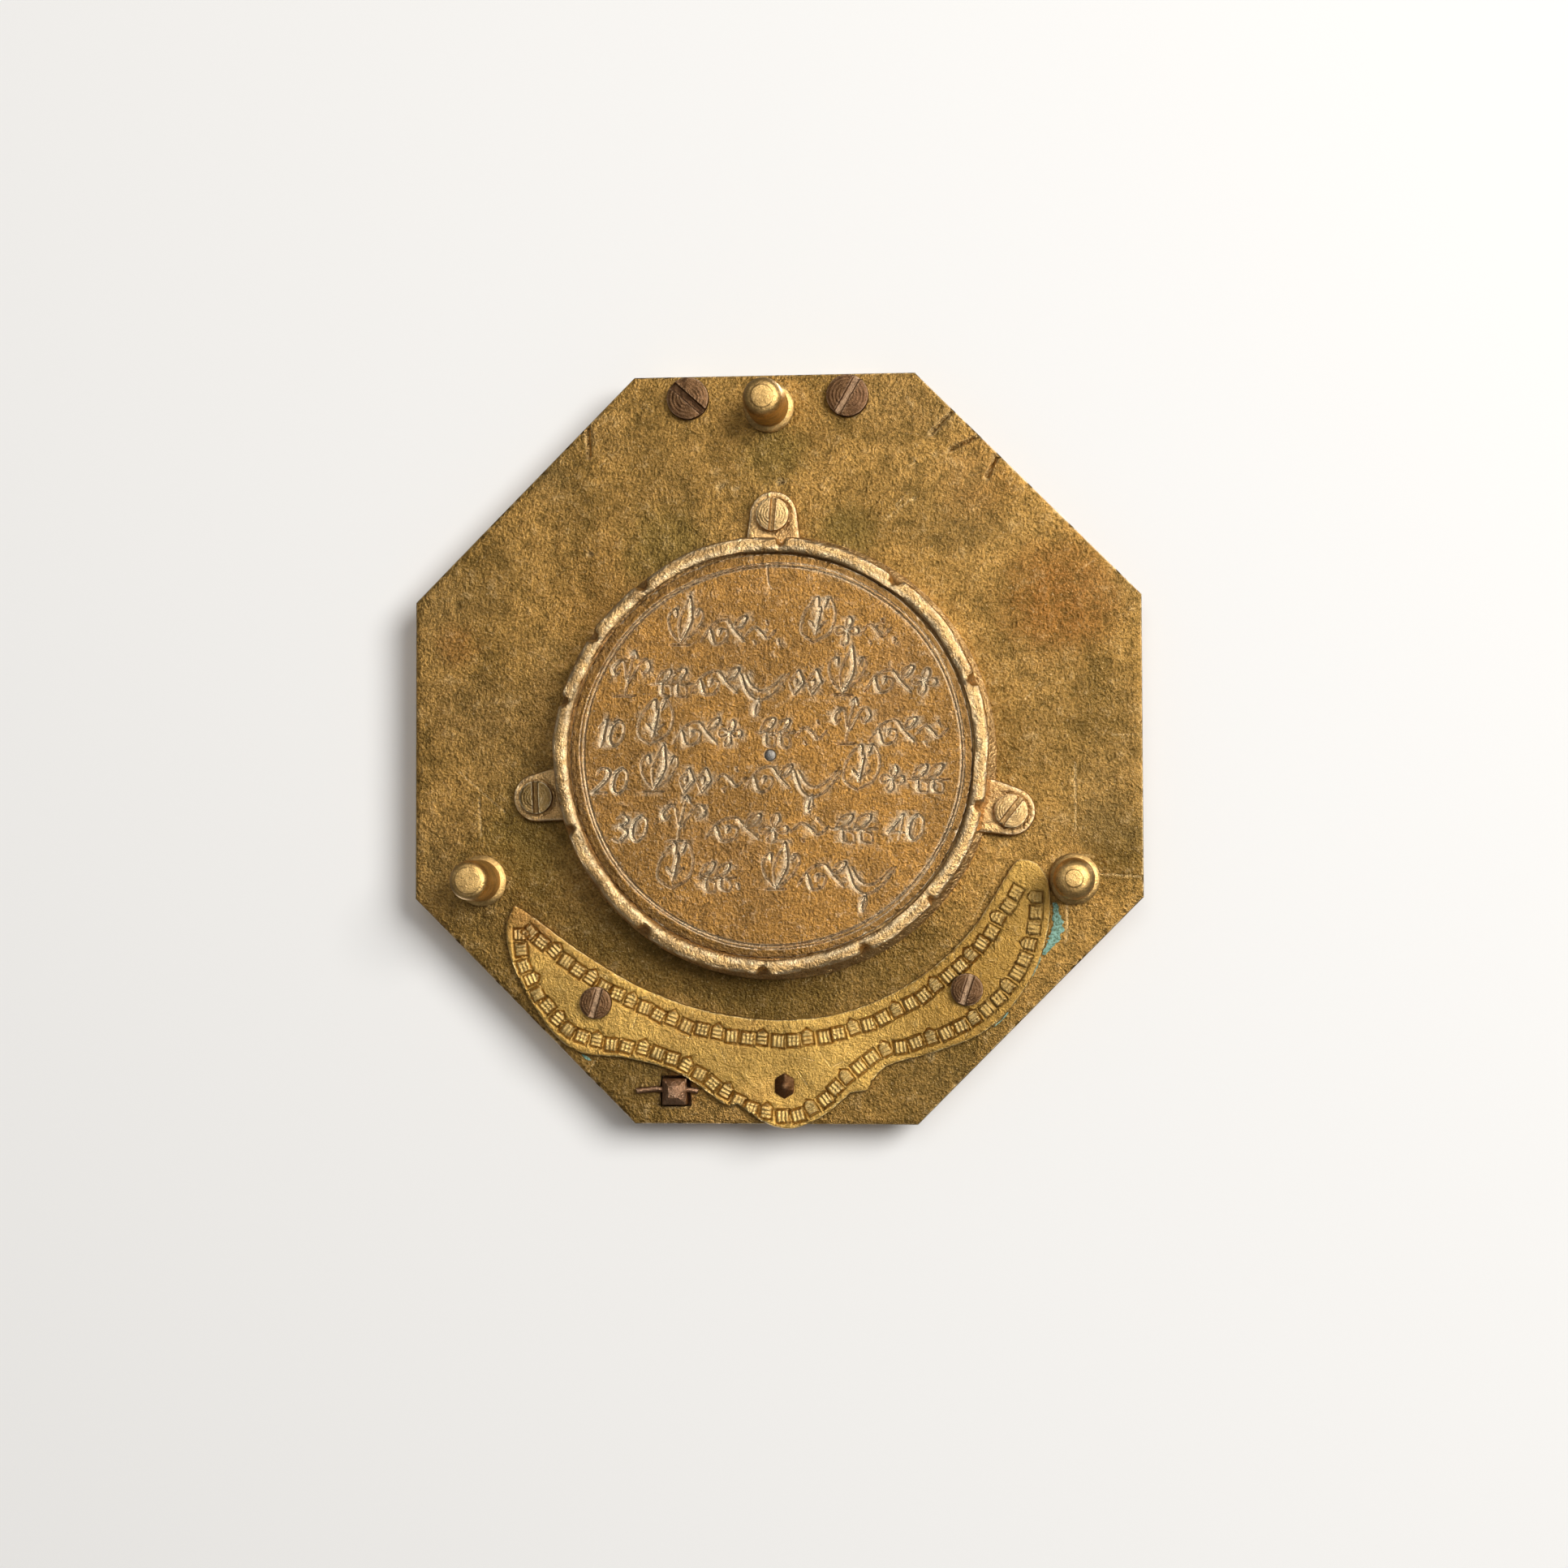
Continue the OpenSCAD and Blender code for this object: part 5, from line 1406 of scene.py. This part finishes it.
def build_arc_knob():
    """Round tip to lift the arc by."""
    x, y = polar(ARC_X, HINGE_Y, ARC_R0 + 0.1, ARC_END - 90)
    knob = circle(x + 0.5, y - 0.35, 0.9, 32)
    obj = relief("arc_knob", [knob], ARC_Z1, ARC_Z0, dial_metal, fine=0.3, bevel=0.2)
    place(obj, "arc", "yellow_brass")


def build_arc_knuckle():
    loops = [circle(HINGE_Z, ARC_X, 0.98, 36), circle(HINGE_Z, ARC_X, 0.45, 24)]
    obj = relief("arc_knuckle", loops, KNUCKLE_Y0, KNUCKLE_Y1, dial_metal, fine=0.4, bevel=0.08, axes="zxy")
    place(obj, "arc", "yellow_brass")


def refined(name, slot, material, edge_mm):
    """New piece from a CAD node's own shape, with merged faces and rounded edges."""
    bm = bmesh.new()
    bm.from_mesh(nodes[name].data)
    bmesh.ops.remove_doubles(bm, verts=bm.verts, dist=0.002 * MM)
    bmesh.ops.dissolve_limit(bm, angle_limit=math.radians(1.5), verts=bm.verts, edges=bm.edges)
    if edge_mm:
        sharp = [e for e in bm.edges if len(e.link_faces) == 2 and e.calc_face_angle() > math.radians(32)]
        bmesh.ops.bevel(bm, geom=sharp, offset=edge_mm * MM, segments=2, profile=0.5, affect="EDGES",
                        clamp_overlap=True)
    mesh = bpy.data.meshes.new("fine_" + name)
    bm.to_mesh(mesh)
    bm.free()
    obj = finish_mesh("fine_" + name, mesh, material, 20)
    place(obj, nodes[name]["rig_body"], slot, name)


# Node, slot, material and radius of its rounded edges
REFINED = (
    ("compass_card", "card", card_paint, 0.03), ("glass_ring", "gilt_brass", foot_metal, 0),
    ("needle_pivot", "steel", steel_metal, 0.02), ("ring_hinge_block", "plate_bronze", dial_metal, 0.12),
    ("ring_hinge_pin", "steel", steel_metal, 0.1), ("stand_bracket", "dark_copper", tang_metal, 0.13),
    ("stand_hinge_pin", "steel", steel_metal, 0.08), ("stand_rest", "dark_copper", screw_metal, 0.12),
    ("arc_hinge_block", "plate_bronze", dial_metal, 0.08),
    ("arc_hinge_rivets", "dark_copper", screw_metal, 0.06),
    ("arc_hinge_pin", "steel", steel_metal, 0.06), ("gnomon_bridge", "yellow_brass", dial_metal, 0.08),
    ("bridge_rivets", "dark_copper", screw_metal, 0.04), ("gnomon_pin", "steel", steel_metal, 0.05),
    ("gnomon_spring", "steel", steel_metal, 0.03), ("gnomon", "steel", steel_metal, 0.0),
    ("compass_needle", "blued_steel", blue_metal, 0.03), ("needle_cap", "gilt_brass", foot_metal, 0.03),
    ("plummet_stand", "yellow_brass", dial_metal, 0.12), ("bob_hook", "steel", steel_metal, 0.04),
    ("bob_link", "steel", steel_metal, 0.03), ("compass_glass", "window_glass", old_glass, 0),
)


def build_refined():
    for name, slot, material, edge in REFINED:
        refined(name, slot, material, edge)


def build_bob():
    """Turned bob with a beaded neck and scored belly, lying along x."""
    low, high = node_box("plumb_bob")
    y, z = (low[1] + high[1]) / 2, (low[2] + high[2]) / 2
    length, radius = high[0] - low[0], (high[1] - low[1]) / 2
    profile = [(0.3, 0.0), (0.55, 0.02), (0.62, 0.12), (0.6, 0.26), (0.48, 0.36), (0.5, 0.5), (0.8, 0.62),
               (0.98, 0.8), (0.94, 0.96), (1.12, 1.1), (1.28, 1.45), (1.35, 1.85), (1.34, 2.1), (1.27, 2.14),
               (1.32, 2.2), (1.26, 2.6), (1.12, 3.1), (0.88, 3.7), (0.62, 4.3), (0.4, 4.8), (0.22, 5.2),
               (0.06, 5.4)]
    profile = [(r * radius / 1.35, low[0] + t * length / 5.4) for r, t in profile]
    obj = lathe("turned_bob", profile, (y, z), foot_metal, count=56, smooth_deg=30, axes="yzx")
    place(obj, "bob", "gilt_brass", "plumb_bob")


CARD_Z, ROSE_R, DEGREE_R = 3.1, 11.9, 13.4


def star(points, r0, r1, turn_deg):
    """Outline of a pointed star."""
    half = 180 / points
    tips = [polar(0, 0, (r0, r1)[k % 2], turn_deg + half * k) for k in range(2 * points)]
    return np.array(tips) + (compass_x, compass_y)


def paint(name, loops, ink, level=0.02):
    """Thin paint on the compass card."""
    obj = relief(name, loops, CARD_Z + level, CARD_Z - 0.02, ink, fine=0.6, bevel=0.01)
    place(obj, "base", "card")


def build_rose():
    """Painted rose, rings and degree marks of the compass card."""
    hub = circle(compass_x, compass_y, 1.05, 32)
    paint("rose_small", [resample(star(8, 8.2, 1.9, 22.5), 0.8), hub], ink_red)
    paint("rose_half", [resample(star(4, 9.4, 2.2, 45), 0.8), hub], ink_green, 0.035)
    paint("rose_main", [resample(star(4, 11.2, 2.1, 0), 0.8), hub], ink_dark, 0.05)
    for name, r, width in (("inner", ROSE_R, 0.14), ("outer", DEGREE_R, 0.14), ("rim", 15.0, 0.3)):
        loops = [circle(compass_x, compass_y, r + side * width / 2, 96) for side in (1, -1)]
        paint("rose_ring_" + name, loops, ink_dark)
    verts = []
    for deg in range(0, 360, 3):
        start, half = (ROSE_R, 0.09) if deg % 15 == 0 else (12.7, 0.05)
        nx, ny = polar(0, 0, half, deg + 90)
        for r, side in ((start, -1), (DEGREE_R, -1), (DEGREE_R, 1), (start, 1)):
            x, y = polar(compass_x, compass_y, r, deg)
            verts.append((x + side * nx, y + side * ny, CARD_Z + 0.02))
    faces = np.arange(len(verts)).reshape(-1, 4).tolist()
    place(make_object("rose_degrees", verts, faces, ink_dark), "base", "card")


# ---- camera, stage and light

# Where the camera looks, and from which direction and distance, in millimetres
TARGET = np.array((-0.747, -2.991, 6.0))
TO_CAMERA = np.array((-0.09706, -0.03726, -0.99458))
DISTANCE, LENS, ROLL_DEG = 245.994, 68.369, 0.166
PAPER = (0.90, 0.89, 0.875, 1)
# Distances from the dial between which the paper turns into the surround
FADE_FROM, FADE_TO = 105, 260
SHEET_HALF, SURROUND_R_M = 900, 4.0


def add_camera():
    data = bpy.data.cameras.new("view")
    data.lens = LENS
    data.sensor_width = 36.0
    data.clip_start = 0.01
    data.clip_end = 20.0
    camera = new_object("view", data)
    back = Vector(TO_CAMERA).normalized()
    up = Vector((0, 1, 0))
    right = up.cross(back).normalized()
    up = back.cross(right)
    turn = Matrix((right, up, back)).transposed() @ Matrix.Rotation(math.radians(-ROLL_DEG), 3, "Z")
    camera.matrix_world = Matrix.Translation(Vector((TARGET + TO_CAMERA * DISTANCE) * MM)) @ turn.to_4x4()
    bpy.context.scene.camera = camera


def one_sided_paper():
    """Matte pale paper that shows only its front and turns into the even surround far from the dial."""
    t = Tree("paper")
    sheet, even = t.shade("ShaderNodeBsdfDiffuse", PAPER), t.shade("ShaderNodeEmission", PAPER)
    clear = t.nodes.new("ShaderNodeBsdfTransparent").outputs[0]
    far = t.nodes.new("ShaderNodeVectorMath")
    far.operation = "LENGTH"
    t.links.new(t.coords, far.inputs[0])
    fade = t.ramp(far.outputs["Value"], FADE_FROM * MM, FADE_TO * MM)
    side = t.nodes.new("ShaderNodeNewGeometry").outputs["Backfacing"]
    t.links.new(t.blend(side, t.blend(fade, sheet, even), clear), t.out.inputs[0])
    return t.material


def hide_from_light(obj):
    for flag in ("visible_shadow", "visible_diffuse", "visible_glossy", "visible_transmission"):
        setattr(obj, flag, False)


def add_sheet(name, z, facing_up, material):
    h = SHEET_HALF
    verts = [(-h, -h, z), (h, -h, z), (h, h, z), (-h, h, z)]
    obj = make_object(name, verts, [(0, 1, 2, 3) if facing_up else (3, 2, 1, 0)], material)
    hide_from_light(obj)


def add_backdrop():
    """Pale surround that only the camera sees."""
    t = Tree("surround")
    t.links.new(t.shade("ShaderNodeEmission", PAPER), t.out.inputs[0])
    bpy.ops.mesh.primitive_uv_sphere_add(radius=SURROUND_R_M, segments=32, ring_count=16)
    obj = bpy.context.object
    obj.name = "surround"
    obj.data.materials.append(t.material)
    hide_from_light(obj)


def add_light(name, place_mm, aim_mm, size_mm, power, colour):
    data = bpy.data.lights.new(name, "AREA")
    data.shape = "DISK"
    data.size = size_mm * MM
    data.energy = power
    data.color = colour
    aim = Vector(aim_mm) - Vector(place_mm)
    turn = aim.to_track_quat("-Z", "Y").to_matrix().to_4x4()
    new_object(name, data).matrix_world = Matrix.Translation(Vector(place_mm) * MM) @ turn


def add_stage():
    paper = one_sided_paper()
    add_sheet("table_paper", plate_z1 + 3.0, False, paper)
    add_sheet("floor", 0.0, True, paper)
    add_backdrop()
    # Under the dial: a key from the upper right of its main view and a weak fill
    add_light("key_below", (-440, 215, -630), (0, 0, 4), 440, 6.2, (1.0, 0.99, 0.97))
    add_light("fill_below", (-20, 160, -560), (0, 0, 4), 300, 0.6, (1.0, 0.99, 0.97))
    # Over the dial, for the views of its dial side
    add_light("key_above", (-260, 220, 420), (0, 0, 8), 240, 2.5, (1.0, 0.98, 0.95))
    add_light("fill_above", (160, -260, 480), (0, 0, 8), 300, 0.9, (0.97, 0.98, 1.0))
    world = bpy.data.worlds.new("room")
    world.use_nodes = True
    glow = world.node_tree.nodes["Background"]
    glow.inputs["Color"].default_value = (1.0, 0.99, 0.98, 1)
    glow.inputs["Strength"].default_value = 0.15
    bpy.context.scene.world = world
    bpy.context.scene.view_settings.view_transform = "Standard"


add_camera()
add_stage()
build_plate()
build_cup()
build_disc()
build_screws()
build_feet()
build_crescent()
build_cotter()
build_verdigris()
build_ring()
build_knuckle()
build_index()
build_arc()
build_arc_knob()
build_arc_knuckle()
build_refined()
build_bob()
build_rose()
